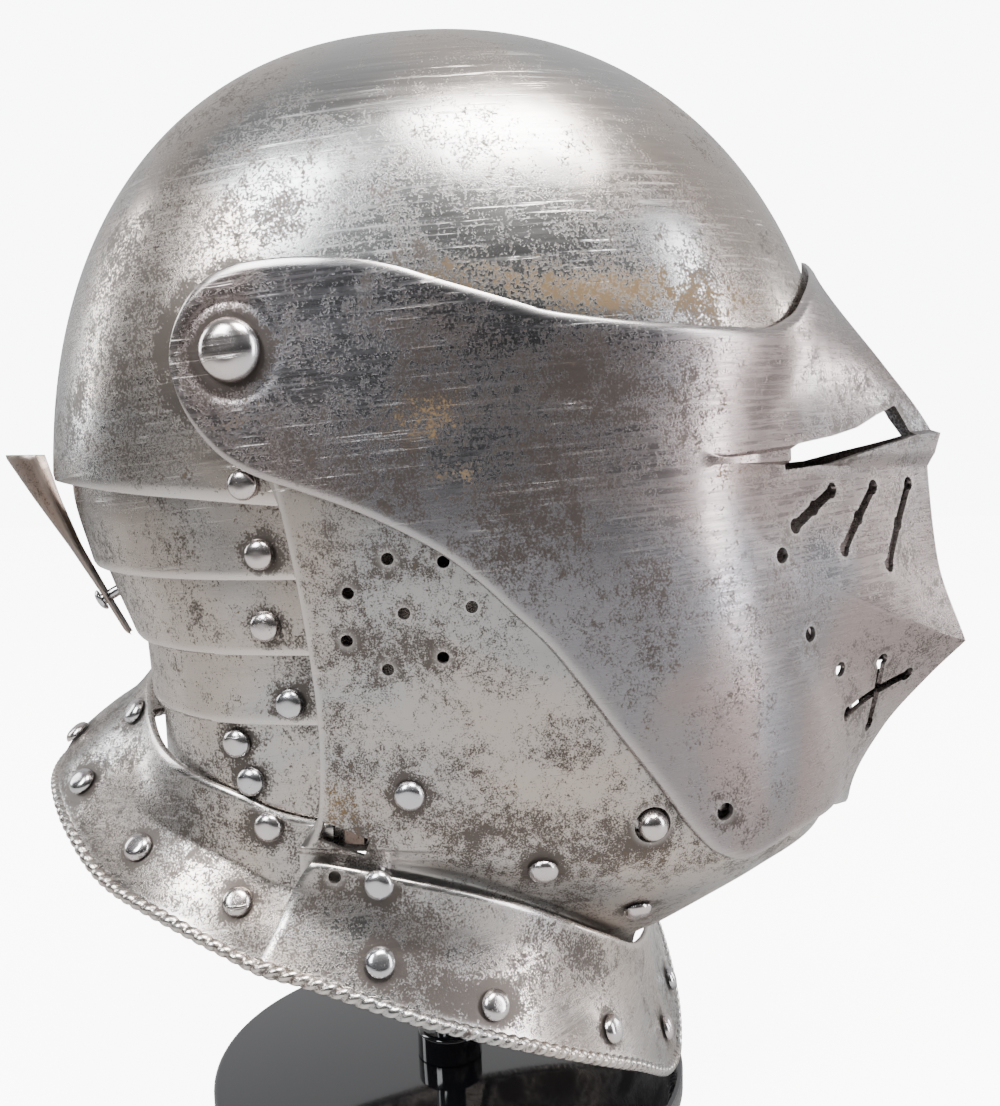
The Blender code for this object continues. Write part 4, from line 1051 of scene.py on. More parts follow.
@dataclass
class RivetGroup:
    """Rivets of one body, made as one piece that stands for their solids."""

    name: str
    body: str
    rivets: list = field(default_factory=list)
    nodes: list = field(default_factory=list)

    def add(self, place: Place, shape: RivetShape, node: str, depth: float | None = None) -> None:
        """Adds one rivet.

        Args:
            place: The seat and its normal.
            shape: The rivet's shape.
            node: The solid that it stands for.
            depth: Thickness that its shank passes, or None for a head alone.
        """
        self.rivets.append((place, shape, depth))
        self.nodes.append(node)

    def build(self, finish: bpy.types.Material) -> bpy.types.Object:
        """Makes the piece.

        Args:
            finish: Its material.

        Returns:
            The object.
        """
        points = []
        faces = []
        seats = []
        base = 0
        for place, shape, depth in self.rivets:
            corners, sides = turned_mesh(shape.profile(depth), place, shape.sides)
            points.append(corners)
            faces += [[base + k for k in face] for face in sides]
            base += len(corners)
            seats.append(circle_on(place[0], place[1], shape.radius))
        obj = mesh_object(self.name, np.concatenate(points), faces, 50)
        face_outward(obj)
        Ageing().paint(obj)
        dirty_foot(obj, seats)
        dress(obj, self.body, finish, "rivet_steel", *self.nodes)
        return obj


def dirty_foot(obj: bpy.types.Object, seats: list) -> None:
    """Darkens each rivet where it meets its plate.

    Args:
        obj: The rivets.
        seats: Rings of points round their feet.
    """
    mesh = obj.data
    distance = nearest(corners_in(mesh) / MM, np.concatenate(seats))
    values = np.exp(-((distance / 1.0) ** 2)).astype(np.float32)
    mesh.attributes["halo"].data.foreach_set("value", values)


def dress(
    obj: bpy.types.Object, body: str, finish: bpy.types.Material, slot: str, *nodes: str
) -> None:
    """Gives a piece its material and its body, and hides the solids that it stands for.

    Args:
        obj: The piece.
        body: The body that it rides on.
        finish: Its material.
        slot: The record's material slot; not used.
        nodes: The solids.
    """
    obj.data.materials.clear()
    obj.data.materials.append(finish)
    if nodes:
        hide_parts(*nodes)
    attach(obj, body)
    LOG.info("%s: %d faces on %s", obj.name, len(obj.data.polygons), body)


PLATE_RIVET = RivetShape()
TEMPLE_RIVET = RivetShape(
    radius=7.6, rise=4.6, seat=0.6, shank=3.0, tail=5.0, tail_thickness=1.2, sides=64
)


@dataclass
class Bowl:
    """The one-piece skull, round the temple pivots on which bevor and visor turn."""

    columns: int = 300
    rows: int = 120
    edge_rows: Rows = (
        # degrees, height
        (0.0, 0.694),
        (45.0, 0.694),
        (58.0, 0.706),
        (65.0, 0.714),
        (71.0, 0.690),
        (77.0, 0.645),
        (84.0, 0.588),
        (90.0, 0.575),
        (110.0, 0.583),
        (140.0, 0.597),
        (180.0, 0.601),
    )
    tarnish_and_highlight: tuple[SoftPatch, ...] = (
        SoftPatch(-62, 236, 30, 9, 0.20),
        SoftPatch(-30, 244, 26, 7, 0.26),
        SoftPatch(23, 272, 22, 16, 0.16),
        SoftPatch(66, 238, 18, 30, 0.16),
        SoftPatch(70, 205, 22, 12, 0.14),
        # The lighter patch over the crown sits where the overhead box's highlight falls: a painted
        # highlight.
        SoftPatch(-10, 300, 60, 20, -0.12),
    )
    rust: tuple[SoftPatch, ...] = (
        SoftPatch(-44, 243, 20, 6, 0.50),
        SoftPatch(-60, 243, 18, 7, 0.52),
        SoftPatch(-83, 241, 16, 6, 0.50),
        SoftPatch(-22, 247, 14, 5, 0.46),
    )

    def face(self, inset: float) -> np.ndarray:
        """One face of the skull.

        Args:
            inset: How far it is drawn in.

        Returns:
            A grid of points, columns by rows.
        """
        angle = np.linspace(0, 2 * math.pi, self.columns, endpoint=False)
        folded = np.degrees(np.minimum(angle, 2 * math.pi - angle))
        keys = column(self.edge_rows, 0)
        edge = FORM.height(smooth(folded, keys, column(self.edge_rows, 1)))
        return FORM.bowl_face(angle, edge, self.rows, inset)

    def build(self, finish: bpy.types.Material) -> None:
        """Makes and dresses the skull.

        Args:
            finish: The plates' material.
        """
        easing = Easing(width=1.6, depth=0.4, first_row=1.0, last_row=0.0, ends=0.0)
        plate = Plate("skull_plate", self.face(0.0), self.face(FORM.plate), easing, True, True)
        obj = plate.build()
        # The halo held over 20 mm round the right temple pivot darkens the skull up to and just past
        # the rear edges of the bevor's and visor's lobes: a painted shadow under the lobes.
        seat = np.array([-FORM.half_width, FORM.pivot_y, FORM.pivot_z])
        Ageing(
            border=plate.border(),
            rivets=[(seat, 20.0)],
            tarnish_and_highlight=self.tarnish_and_highlight,
            rust=self.rust,
            wear_width=1.6,
        ).paint(obj)
        dress(obj, "bowl_and_stand", finish, "polished_steel", "skull")


@dataclass
class NapePlate:
    """One of the lames behind the neck, or the neck plate under them."""

    name: str
    body: str
    top: float
    low_back: float
    low_side: float
    widths: tuple[float, float, float]
    reaches: tuple[float, float, float]
    columns: int = 240
    rows: int = 44
    emerge: float = 0.30
    front_angle: float = math.radians(71)

    def face(self, angle: np.ndarray, share: np.ndarray, inset: float = 0.0) -> np.ndarray:
        """The plate's face, with share running from its hidden top to its lower edge.

        Args:
            angle: Angle from the front.
            share: Share of the way down.
            inset: How far it is drawn in.

        Returns:
            The points.
        """
        toward_back = np.maximum(-np.cos(angle), 0) ** 2
        bottom = self.low_side + (self.low_back - self.low_side) * toward_back
        stops = np.array([0.0, self.emerge, 1.0])
        half_width = FORM.half_width * smooth(share, stops, np.array(self.widths)) - inset
        reach = FORM.length * smooth(share, stops, np.array(self.reaches)) - inset
        front = FORM.length * FORM.open_reach - inset
        back_radius = FORM.section(angle, half_width, reach, FORM.back_power)
        front_radius = FORM.section(angle, half_width, front, FORM.back_power)
        radius = np.where(np.cos(angle) < 0, back_radius, front_radius)
        return FORM.at_radius(angle, radius, FORM.height(self.top + (bottom - self.top) * share))

    def build(self, finish: bpy.types.Material, rivets: list) -> None:
        """Makes and dresses the plate.

        Args:
            finish: The plates' material.
            rivets: Places of the rivets on it, with their radius.
        """
        start = self.front_angle
        angle = np.linspace(start, 2 * math.pi - start, self.columns)[:, None]
        share = np.linspace(0, 1, self.rows)[None, :]
        easing = Easing(width=1.5, depth=0.4, first_row=0.3)
        outer = self.face(angle, share)
        plate = Plate(self.name + "_plate", outer, self.face(angle, share, FORM.plate), easing)
        obj = plate.build()
        middle = self.face(np.array(math.radians(150)), np.array(0.7))
        stains = (SoftPatch(middle[1], middle[2], 22, 8, 0.12),)
        Ageing(border=plate.border(), rivets=rivets, tarnish_and_highlight=stains, wear_width=1.4).paint(obj)
        dress(obj, self.body, finish, "polished_steel", self.name)


NAPE = (
    NapePlate(
        "lame_1", "upper_nape_plate", 0.622, 0.526, 0.518,
        (0.968, 0.965, 0.956), (0.3340, 0.3380, 0.3115),
    ),
    NapePlate(
        "lame_2", "middle_nape_plate", 0.561, 0.465, 0.457,
        (0.935, 0.933, 0.926), (0.3080, 0.3000, 0.2530),
    ),
    NapePlate(
        "lame_3", "lower_nape_plate", 0.503, 0.415, 0.399,
        (0.905, 0.903, 0.896), (0.2530, 0.2440, 0.2360),
    ),
    NapePlate(
        "neck_plate", "neck_and_rear_gorget", 0.443, 0.358, 0.292,
        (0.876, 0.870, 0.858), (0.2270, 0.2250, 0.2230),
    ),
)


@dataclass
class Bevor:
    """The cheek and chin plate, with its vents, lock slots and catch holes."""

    columns: int = 420
    rows: int = 150
    upper_rows: Rows = (
        # share of the way from the rear edge to the chin, height
        (0.00, 0.743),
        (0.10, 0.734),
        (0.20, 0.690),
        (0.30, 0.620),
        (0.40, 0.548),
        (0.55, 0.462),
        (0.70, 0.398),
        (0.85, 0.360),
        (1.00, 0.346),
    )
    lower_label: float = 0.100
    rear_angle: float = math.radians(84)
    rear_rows: Rows = (
        # height label, distance in front of the pivot as a share of the length
        (0.743, 0.020),
        (0.733, -0.018),
        (0.712, -0.045),
        (0.690, -0.052),
        (0.662, -0.045),
        (0.638, -0.022),
        (0.618, 0.008),
        (0.596, 0.033),
        (0.580, 0.039),
        (0.484, 0.058),
        (0.404, 0.064),
        (0.335, 0.058),
        (0.295, 0.034),
        (0.266, 0.030),
        (0.100, 0.030),
    )
    vent_radius: float = 1.5
    vents: Rows = (
        # degrees, height label
        (68.6, 0.535),
        (61.7, 0.532),
        (73.9, 0.509),
        (66.6, 0.493),
        (58.3, 0.497),
        (74.3, 0.472),
        (61.7, 0.458),
        (68.8, 0.449),
    )
    slot_corners: Rows = (
        # distance behind the widest section as a share of the length, height
        (-0.074742, 0.324359),
        (-0.124570, 0.309615),
        (-0.115120, 0.294231),
        (-0.067869, 0.308333),
    )
    rivet_rows: tuple = (("upper", 66.1, 0.347), ("chin", 30.3, 0.178))
    catch_rivet: tuple[float, float] = (48.3, 0.238)
    catch_button: tuple[float, float] = (36.9, 0.3157)
    catch_stud: tuple[float, float] = (29.1, 0.3242)
    tarnish_and_highlight: tuple[SoftPatch, ...] = (
        SoftPatch(6, 162, 14, 26, 0.14),
        SoftPatch(-13, 114, 26, 7, 0.20),
        SoftPatch(-51, 104, 30, 9, 0.20),
        # The lighter patch on the lower cheek sits where the white floor is reflected: a painted
        # reflection.
        SoftPatch(-30, 140, 30, 20, -0.06),
    )
    rust: tuple[SoftPatch, ...] = (
        SoftPatch(13, 119, 8, 9, 0.60),
        SoftPatch(-60, 102, 22, 6, 0.30),
    )

    def outer_face(self, angle: np.ndarray, label: np.ndarray) -> np.ndarray:
        """The bevor's outer face.

        Args:
            angle: Angle from the front.
            label: Height label.

        Returns:
            The points.
        """
        return FORM.cheek_face(angle, label, FORM.layer)

    def grid(self, inset: float) -> np.ndarray:
        """One face, from the right rear edge round the chin to the left one.

        Args:
            inset: How far it is drawn in.

        Returns:
            A grid of points, columns by rows.
        """
        way = np.linspace(-1, 1, self.columns)[:, None]
        down = np.linspace(0, 1, self.rows)[None, :]
        keys = column(self.upper_rows, 0)
        top = smooth(1 - np.abs(way), keys, column(self.upper_rows, 1))
        label = top + (self.lower_label - top) * down
        first = self.upper_rows[0][1]
        rear_label = first + (self.lower_label - first) * down
        keys = column(self.rear_rows, 0)
        ahead = FORM.length * smooth(rear_label, keys, column(self.rear_rows, 1))
        half_width = FORM.cheek_sizes(rear_label, FORM.layer)[0]
        rear = math.pi / 2 - np.arctan2(ahead - (FORM.pivot_y - FORM.widest_y), half_width)
        shift = (rear - self.rear_angle) * np.sign(way) * np.abs(way) ** 7
        return FORM.cheek_face(self.rear_angle * way + shift, label, FORM.layer - inset)

    def build(self, finish: bpy.types.Material) -> None:
        """Makes, pierces and dresses the bevor.

        Args:
            finish: The plates' material.
        """
        easing = Easing(width=1.6, depth=0.5)
        plate = Plate("bevor_plate", self.grid(0.0), self.grid(FORM.plate), easing)
        obj = plate.build()
        piercing = Piercing()
        for degrees, label in self.vents:
            place = place_on(self.outer_face, degrees, label)
            piercing.add_both(circle_on(*place, self.vent_radius), place[1])
        x = FORM.half_width * 0.9
        slot = []
        for y, z in self.slot_corners:
            slot.append((-x, FORM.behind_widest(y), float(FORM.height(z))))
        piercing.add_both(np.array(slot), np.array([-1.0, 0.0, 0.0]), 9.0)
        for row, radius in ((self.catch_button, 4.8), (self.catch_stud, 2.8)):
            point, normal = mirrored(place_on(self.outer_face, *row), Side.RIGHT)
            piercing.add(circle_on(point, normal, radius), normal)
        piercing.cut(obj)
        rivets = []
        for row in [row[1:] for row in self.rivet_rows] + [self.catch_rivet]:
            for side in Side:
                place = mirrored(place_on(self.outer_face, *row), side)
                rivets.append((place[0], PLATE_RIVET.radius))
        Ageing(
            border=plate.border(),
            outlines=piercing.outlines,
            rivets=rivets,
            tarnish_and_highlight=self.tarnish_and_highlight,
            rust=self.rust,
        ).paint(obj)
        dress(obj, "bevor", finish, "polished_steel", "bevor")


@dataclass
class Visor:
    """The pointed visor with its sight, breath slots, holes and pierced crosses."""

    half_columns: int = 176
    rows_between: tuple[int, ...] = (46, 48, 4, 7, 3, 48)
    way_knots: tuple[float, ...] = (0.0, 0.31, 0.64, 0.655, 0.69, 0.695, 1.0)
    ridge_rows: Rows = (
        # height, reach
        (0.795, 0.600),
        (0.772, 0.616),
        (0.686, 0.700),
        (0.644, 0.741),
        (0.622, 0.759),
        (0.602, 0.752),
        (0.574, 0.755),
        (0.502, 0.767),
        (0.425, 0.8015),
        (0.391, 0.757),
        (0.340, 0.701),
        (0.282, 0.662),
        (0.263, 0.657),
    )
    slant_rows: Rows = (
        # height, climb
        (0.795, 0.0),
        (0.772, 0.0),
        (0.644, -0.026),
        (0.622, -0.019),
        (0.574, 0.029),
        (0.425, 0.157),
        (0.340, 0.051),
        (0.282, 0.0),
        (0.263, 0.0),
    )
    slant_angle: float = math.radians(33)
    fade_start: float = math.radians(30)
    fade_span: float = math.radians(7)
    crease: float = 0.425
    ledge_low: float = 0.603
    ledge_high: float = 0.622
    ledge_bevel: float = 0.012
    ledge_standout: float = 2.2
    low_edge_ease: float = 0.7
    visor_ease: float = 0.15
    outline_rows: Rows = (
        # degrees, upper, lower
        (0.0, 0.785, 0.265),
        (5.0, 0.772, 0.275),
        (10.0, 0.759, 0.286),
        (15.0, 0.741, 0.287),
        (20.0, 0.719, 0.283),
        (26.0, 0.706, 0.272),
        (30.0, 0.706, 0.284),
        (33.0, 0.706, 0.306),
        (38.0, 0.707, 0.356),
        (42.0, 0.709, 0.394),
        (46.0, 0.712, 0.433),
        (50.0, 0.716, 0.467),
        (54.0, 0.724, 0.493),
        (58.0, 0.732, 0.518),
        (62.0, 0.740, 0.538),
        (67.0, 0.750, 0.556),
        (73.0, 0.757, 0.573),
        (80.0, 0.759, 0.588),
        (86.0, 0.757, 0.600),
        (90.0, 0.751, 0.613),
        (93.0, 0.740, 0.630),
        (95.5, 0.722, 0.652),
        (96.7, 0.706, 0.672),
        (97.1, 0.692, 0.688),
    )
    sight_rows: Rows = (
        # degrees, ridge height
        (3.0, 0.650),
        (6.5, 0.643),
        (10.0, 0.634),
        (14.0, 0.629),
        (19.0, 0.626),
        (22.0, 0.622),
        (21.5, 0.578),
        (18.2, 0.587),
        (14.6, 0.5945),
        (11.0, 0.6065),
        (6.5, 0.6155),
        (3.2, 0.622),
    )
    breath_slots: tuple = (
        ((20.2, 0.487), (14.3, 0.556)),
        ((13.2, 0.484), (8.0, 0.567)),
        ((7.0, 0.484), (2.9, 0.573)),
    )
    breath_holes: Rows = ((22.7, 0.4235), (18.5, 0.394), (13.4, 0.381))
    cross_bars: tuple = (((7.4, 0.394), (4.8, 0.345)), ((3.0, 0.389), (10.9, 0.354)))
    stud_hole: tuple[float, float] = (30.1, 0.307)
    stud_radius: float = 2.4
    breath_radius: float = 2.1
    breath_bar: float = 1.5
    cross_radius: float = 2.2
    cross_bar: float = 1.5
    ring_radius: float = 11.2
    ring_depth: float = 0.28
    tarnish_and_highlight: tuple[SoftPatch, ...] = (
        SoftPatch(-16, 220, 30, 16, 0.15),
        SoftPatch(-42, 215, 22, 18, 0.20),
        SoftPatch(-31, 194, 24, 14, 0.16),
        SoftPatch(3, 208, 18, 14, 0.12),
        SoftPatch(33, 226, 16, 14, 0.20),
        SoftPatch(-58, 222, 14, 12, 0.16),
        SoftPatch(-60, 170, 18, 18, 0.12),
        # The tall narrow lighter streak sits where the right strip light's reflection runs down the
        # visor: a painted highlight.
        SoftPatch(-86, 215, 12, 30, -0.10),
        SoftPatch(-105, 150, 24, 24, 0.04),
    )
    rust: tuple[SoftPatch, ...] = (
        SoftPatch(-15, 213, 9, 6, 0.62),
        SoftPatch(-86, 199, 14, 5, 0.48),
        SoftPatch(-22, 200, 8, 4, 0.40),
        SoftPatch(34, 214, 12, 4, 0.30),
    )

    def slanted(self, angle: np.ndarray, share: np.ndarray) -> np.ndarray:
        """Height of a ridge line away from the ridge, level again on the cheek.

        Args:
            angle: Angle from the front.
            share: Height on the ridge.

        Returns:
            The height there.
        """
        away = np.abs(angle)
        run = np.clip(np.tan(np.minimum(away, 1.2)) / math.tan(self.slant_angle), 0, 1)
        run = run * (1 - fade_in((away - self.fade_start) / self.fade_span))
        return share + creased(share, self.slant_rows, (self.crease,)) * run

    def unslanted(self, angle: np.ndarray, actual: np.ndarray) -> np.ndarray:
        """The ridge height whose line passes an angle at a height, by bisection.

        Args:
            angle: Angle from the front.
            actual: Height there.

        Returns:
            The height on the ridge.
        """
        low = np.zeros(np.broadcast(angle, actual).shape)
        high = low + 1
        for _ in range(30):
            middle = (low + high) / 2
            under = self.slanted(angle, middle) < actual
            low = np.where(under, middle, low)
            high = np.where(under, high, middle)
        return (low + high) / 2

    def face(self, angle: np.ndarray, share: np.ndarray, inset: float = 0.0) -> np.ndarray:
        """The cheek form two layers out, with straight faces that meet in the ridge.

        Each straight face is the tangent from the ridge to the rounded section.

        Args:
            angle: Angle from the front.
            share: Height on the ridge.
            inset: How far it is drawn in.

        Returns:
            The points.
        """
        away = np.abs(angle)
        actual = self.slanted(angle, share)
        ease = self.low_edge_ease * np.clip((0.42 - actual) / 0.1, 0, 1)
        layer = 2 * FORM.layer + self.visor_ease - inset + ease
        half_width, reach, _, _ = FORM.cheek_sizes(actual, layer)
        breaks = (self.crease, 0.602, self.ledge_high)
        ridge = FORM.length * creased(share, self.ridge_rows, breaks)
        ridge = np.maximum(ridge - inset * 1.35, reach * 1.00005)
        power = FORM.section_power
        touch_y = reach * (reach / ridge) ** (1 / (power - 1))
        flat_x = np.maximum(1 - (touch_y / reach) ** power, 1e-9)
        touch_x = half_width * flat_x ** (1 / power)
        lean = touch_x ** (power - 1) / half_width**power
        straight = 1 / (np.sin(away) * lean + np.cos(away) / ridge)
        rounded = FORM.section(angle, half_width, reach, power)
        radius = np.where(away < np.arctan2(touch_x, touch_y), straight, rounded)
        flat = half_width / np.maximum(np.sin(away), 0.3)
        radius = np.where(away > math.pi / 2, flat, radius)
        bevel = self.ledge_bevel
        keys = [self.ledge_low - bevel, self.ledge_low, self.ledge_high, self.ledge_high + bevel / 4]
        ledge = np.interp(share, keys, [0, 1, 1, 0])
        fade = np.clip((self.slant_angle - away) / math.radians(6), 0, 1)
        radius = radius + self.ledge_standout * ledge * fade
        return FORM.at_radius(angle, radius, FORM.height(actual))

    def grid(self, inset: float) -> np.ndarray:
        """One face, rows running from the lower to the upper edge.

        Args:
            inset: How far it is drawn in.

        Returns:
            A grid of points, columns by rows.
        """
        turn = math.degrees(self.slant_angle)
        last = self.outline_rows[-1][0]
        ahead = np.linspace(0, turn, self.half_columns // 3)
        quarter = np.linspace(0, math.pi / 2, self.half_columns * 2 // 3)
        beside = turn + (last - turn) * np.sin(quarter)
        half = np.concatenate([ahead, beside[1:]])
        degrees = np.concatenate([-half[::-1], half[1:]])[:, None]
        angle = np.radians(degrees)
        keys = column(self.outline_rows, 0)
        folded = np.abs(degrees)
        upper = self.unslanted(angle, smooth(folded, keys, column(self.outline_rows, 1)))
        lower = self.unslanted(angle, smooth(folded, keys, column(self.outline_rows, 2)))
        lines = (
            self.crease,
            self.ledge_low - self.ledge_bevel,
            self.ledge_low,
            self.ledge_high,
            self.ledge_high + self.ledge_bevel / 4,
        )
        edges = [lower] + [line + 0 * lower for line in lines] + [upper]
        aligned = []
        ways = []
        for k, count in enumerate(self.rows_between):
            part = np.linspace(0, 1, count, endpoint=k == len(self.rows_between) - 1)[None, :]
            aligned.append(edges[k] + (edges[k + 1] - edges[k]) * part)
            low, high = self.way_knots[k], self.way_knots[k + 1]
            ways.append(low + (high - low) * part)
        aligned = np.concatenate(aligned, axis=1)
        even = lower + (upper - lower) * np.concatenate(ways, axis=1)
        run = fade_in((folded - math.degrees(self.fade_start)) / 12)
        return self.face(angle, aligned + (even - aligned) * run, inset)

    def slot_between(self, first: tuple, last: tuple, radius: float, bar: float, middle: bool) -> Place:
        """A slot's outline between two places on the visor.

        Args:
            first: Angle and height of one end.
            last: Angle and height of the other.
            radius: Radius of the end holes.
            bar: Half width of the bar.
            middle: Whether the middle has a hole too.

        Returns:
            The outline and the way through.
        """
        start, start_normal = place_on(self.face, *first)
        end, end_normal = place_on(self.face, *last)
        length = float(np.linalg.norm(end - start))
        along = (end - start) / length
        normal = start_normal + end_normal
        normal = normal - along * (along @ normal)
        normal /= np.linalg.norm(normal)
        across = np.cross(normal, along)
        flat = slot_outline(length, radius, bar, middle)
        return start + flat[:, :1] * along + flat[:, 1:] * across, normal

    def pierce(self) -> Piercing:
        """Returns: the visor's cuts."""
        piercing = Piercing()
        sight = np.array([place_on(self.face, *row)[0] for row in self.sight_rows])
        middle = place_on(self.face, 12.0, 0.590)[1]
        way = np.array([middle[0], middle[1], 0.0]) / math.hypot(middle[0], middle[1])
        piercing.add_both(sight, way, 9.0)
        for foot, head in self.breath_slots:
            outline = self.slot_between(foot, head, self.breath_radius, self.breath_bar, True)
            piercing.add_both(*outline, 5.0)
        for row in self.breath_holes:
            place = place_on(self.face, *row)
            piercing.add_both(circle_on(*place, self.breath_radius), place[1], 4.0)
        point, normal = mirrored(place_on(self.face, *self.stud_hole), Side.RIGHT)
        piercing.add(circle_on(point, normal, self.stud_radius), normal, 4.0)
        return piercing

    def crosses(self) -> list[Piercing]:
        """Returns: the two bars of the pierced crosses, each a cut of its own."""
        cuts = []
        for first, last in self.cross_bars:
            piercing = Piercing()
            outline = self.slot_between(first, last, self.cross_radius, self.cross_bar, False)
            piercing.add_both(*outline, 5.0)
            cuts.append(piercing)
        return cuts

    def with_ring(self, outer: np.ndarray) -> np.ndarray:
        """Presses a shallow ring round the pivot: depth times e to minus (off/width) squared.

        Args:
            outer: The outer grid.

        Returns:
            The grid with the ring.
        """
        away = np.hypot(outer[..., 1] - FORM.pivot_y, outer[..., 2] - FORM.pivot_z)
        press = self.ring_depth * np.exp(-(((away - self.ring_radius) / 1.1) ** 2))
        return outer - normals_of(outer) * press[..., None]

    def build(self, finish: bpy.types.Material) -> None:
        """Makes, pierces and dresses the visor.

        Args:
            finish: The plates' material.
        """
        easing = Easing(width=2.0, depth=0.55, first_row=0.8, last_row=1.25)
        outer = self.with_ring(self.grid(0.0))
        plate = Plate("visor_plate", outer, self.grid(FORM.plate), easing)
        obj = plate.build()
        piercing = self.pierce()
        piercing.cut(obj)
        for bar in self.crosses():
            bar.cut(obj)
            piercing.outlines += bar.outlines
        rivets = []
        for side in Side:
            seat = np.array([side.value * (FORM.half_width + 4), FORM.pivot_y, FORM.pivot_z])
            rivets.append((seat, TEMPLE_RIVET.radius))
        Ageing(
            border=plate.border(),
            outlines=piercing.outlines,
            rivets=rivets,
            tarnish_and_highlight=self.tarnish_and_highlight,
            rust=self.rust,
            wear_width=1.7,
        ).paint(obj)
        dress(obj, "visor", finish, "polished_steel", "visor")


@dataclass
class Gorget:
    """One flared gorget plate with a roped rim."""

    name: str
    body: str
    edges: Rows
    flare: Rows
    power: float
    rows: int = 70
    columns: int = 260
    roll_radius: float = 1.9
    rope_pitch: float = 3.4
    rope_depth: float = 0.24
    rope_sides: int = 18

    def face(self, angle: np.ndarray, share: np.ndarray, inset: float = 0.0) -> np.ndarray:
        """The plate's face between its upper edge and its rim.

        Args:
            angle: Angle from the front.
            share: Share of the way down.
            inset: How far it is drawn in.

        Returns:
            The points.
        """
        degrees = np.degrees(np.abs(angle))
        upper = smooth(degrees, column(self.edges, 0), column(self.edges, 1))
        rim = smooth(degrees, column(self.edges, 0), column(self.edges, 2))
        stops = column(self.flare, 0)
        half_width = FORM.half_width * smooth(share, stops, column(self.flare, 1)) - inset
        reach = FORM.length * smooth(share, stops, column(self.flare, 2)) - inset
        radius = FORM.section(angle, half_width, reach, self.power)
        if self.name == "rear_gorget":
            ahead = FORM.section(angle, half_width, FORM.length * FORM.open_reach, self.power)
            radius = np.where(np.cos(angle) < 0, radius, ahead)
        return FORM.at_radius(angle, radius, FORM.height(upper + (rim - upper) * share))

    def angles(self, share: np.ndarray) -> np.ndarray:
        """Angle of each column at each share of the way down.

        Args:
            share: Share of the way down.

        Returns:
            The angles.
        """
        if self.name == "rear_gorget":
            start = math.radians(self.edges[0][0])
            return np.linspace(start, 2 * math.pi - start, self.columns)[:, None] + 0 * share
        keys = np.array([0.0, 0.12, 1.0])
        rear = np.radians(smooth(share, keys, np.array([81.0, 82.5, 88.0])))
        return np.linspace(-1, 1, self.columns)[:, None] * rear

    def grid(self, inset: float) -> np.ndarray:
        """One face of the plate.

        Args:
            inset: How far it is drawn in.

        Returns:
            A grid of points, columns by rows.
        """
        share = np.linspace(0, 1, self.rows)[None, :]
        angle = self.angles(share)
        folded = np.where(angle > math.pi, 2 * math.pi - angle, angle)
        face = self.face(folded, share, inset)
        face[..., 0] *= np.where(angle > math.pi, -1, 1)
        return face

    def rope(self, outer: np.ndarray, inner: np.ndarray) -> bpy.types.Object:
        """The rolled rim, filed like a rope.

        Its radius is R (1 - d + d |cos((2a - 2 pi s/p)/2)|), with a round the roll and s
        along it.

        Args:
            outer: The plate's outer grid.
            inner: The plate's inner grid.

        Returns:
            The rim's object.
        """
        down = outer[:, -1] - outer[:, -2]
        down /= np.linalg.norm(down, axis=-1, keepdims=True)
        out = outer[:, -1] - inner[:, -1]
        out -= down * (out * down).sum(-1, keepdims=True)
        out /= np.linalg.norm(out, axis=-1, keepdims=True)
        middle = (outer[:, -1] + inner[:, -1]) / 2 + down * self.roll_radius * 0.6
        step = np.linalg.norm(np.diff(middle, axis=0), axis=-1)
        run = np.concatenate([[0.0], np.cumsum(step)])
        columns = int(run[-1] / self.rope_pitch * 9)
        along = np.linspace(0, run[-1], columns)
        parts = []
        for values in (middle, down, out):
            parts.append(np.stack([np.interp(along, run, values[:, k]) for k in range(3)], -1))
        middle, down, out = parts
        turn = np.linspace(0, 2 * math.pi, self.rope_sides, endpoint=False)[None, :]
        twist = turn - math.pi * along[:, None] / self.rope_pitch
        wave = np.abs(np.cos(twist)) ** 0.8
        radius = self.roll_radius * (1 - self.rope_depth + self.rope_depth * wave)
        points = middle[:, None] + radius[..., None] * (
            np.cos(turn)[..., None] * down[:, None] + np.sin(turn)[..., None] * out[:, None]
        )
        sides = self.rope_sides
        faces = grid_faces(columns, sides, False)
        last = (columns - 1) * sides
        faces += [list(range(sides))[::-1], list(range(last, last + sides))]
        obj = mesh_object(self.name + "_roped_rim", points.reshape(-1, 3), faces, 60)
        face_outward(obj)
        ridge = points[wave > 0.97]
        Ageing(border=ridge[::2], wear_width=0.55).paint(obj)
        return obj

    def build(self, finish: bpy.types.Material, rivets: list, hole: tuple | None) -> None:
        """Makes and dresses the plate and its rim.

        Args:
            finish: The plates' material.
            rivets: Places of the rivets on it, with their radius.
            hole: Angle, share and radius of the hole on both sides, or None.
        """
        outer = self.grid(0.0)
        inner = self.grid(FORM.plate)
        easing = Easing(width=1.5, depth=0.45, last_row=0.0)
        plate = Plate(self.name + "_plate", outer, inner, easing)
        obj = plate.build()
        outlines = []
        if hole:
            piercing = Piercing()
            place = place_on(self.face, hole[0], hole[1])
            piercing.add_both(circle_on(*place, hole[2]), place[1], 4.0)
            piercing.cut(obj)
            outlines = piercing.outlines
        point = self.face(np.array(math.radians(60 if hole else 120)), np.array(0.85))
        stains = (
            SoftPatch(point[1], point[2], 34, 10, 0.26),
            SoftPatch(point[1] + 24, point[2] + 18, 16, 12, 0.14),
        )
        Ageing(
            border=plate.border(), outlines=outlines, rivets=rivets, tarnish_and_highlight=stains
        ).paint(obj)
        dress(obj, self.body, finish, "polished_steel", self.name)
        dress(self.rope(outer, inner), self.body, finish, "polished_steel")


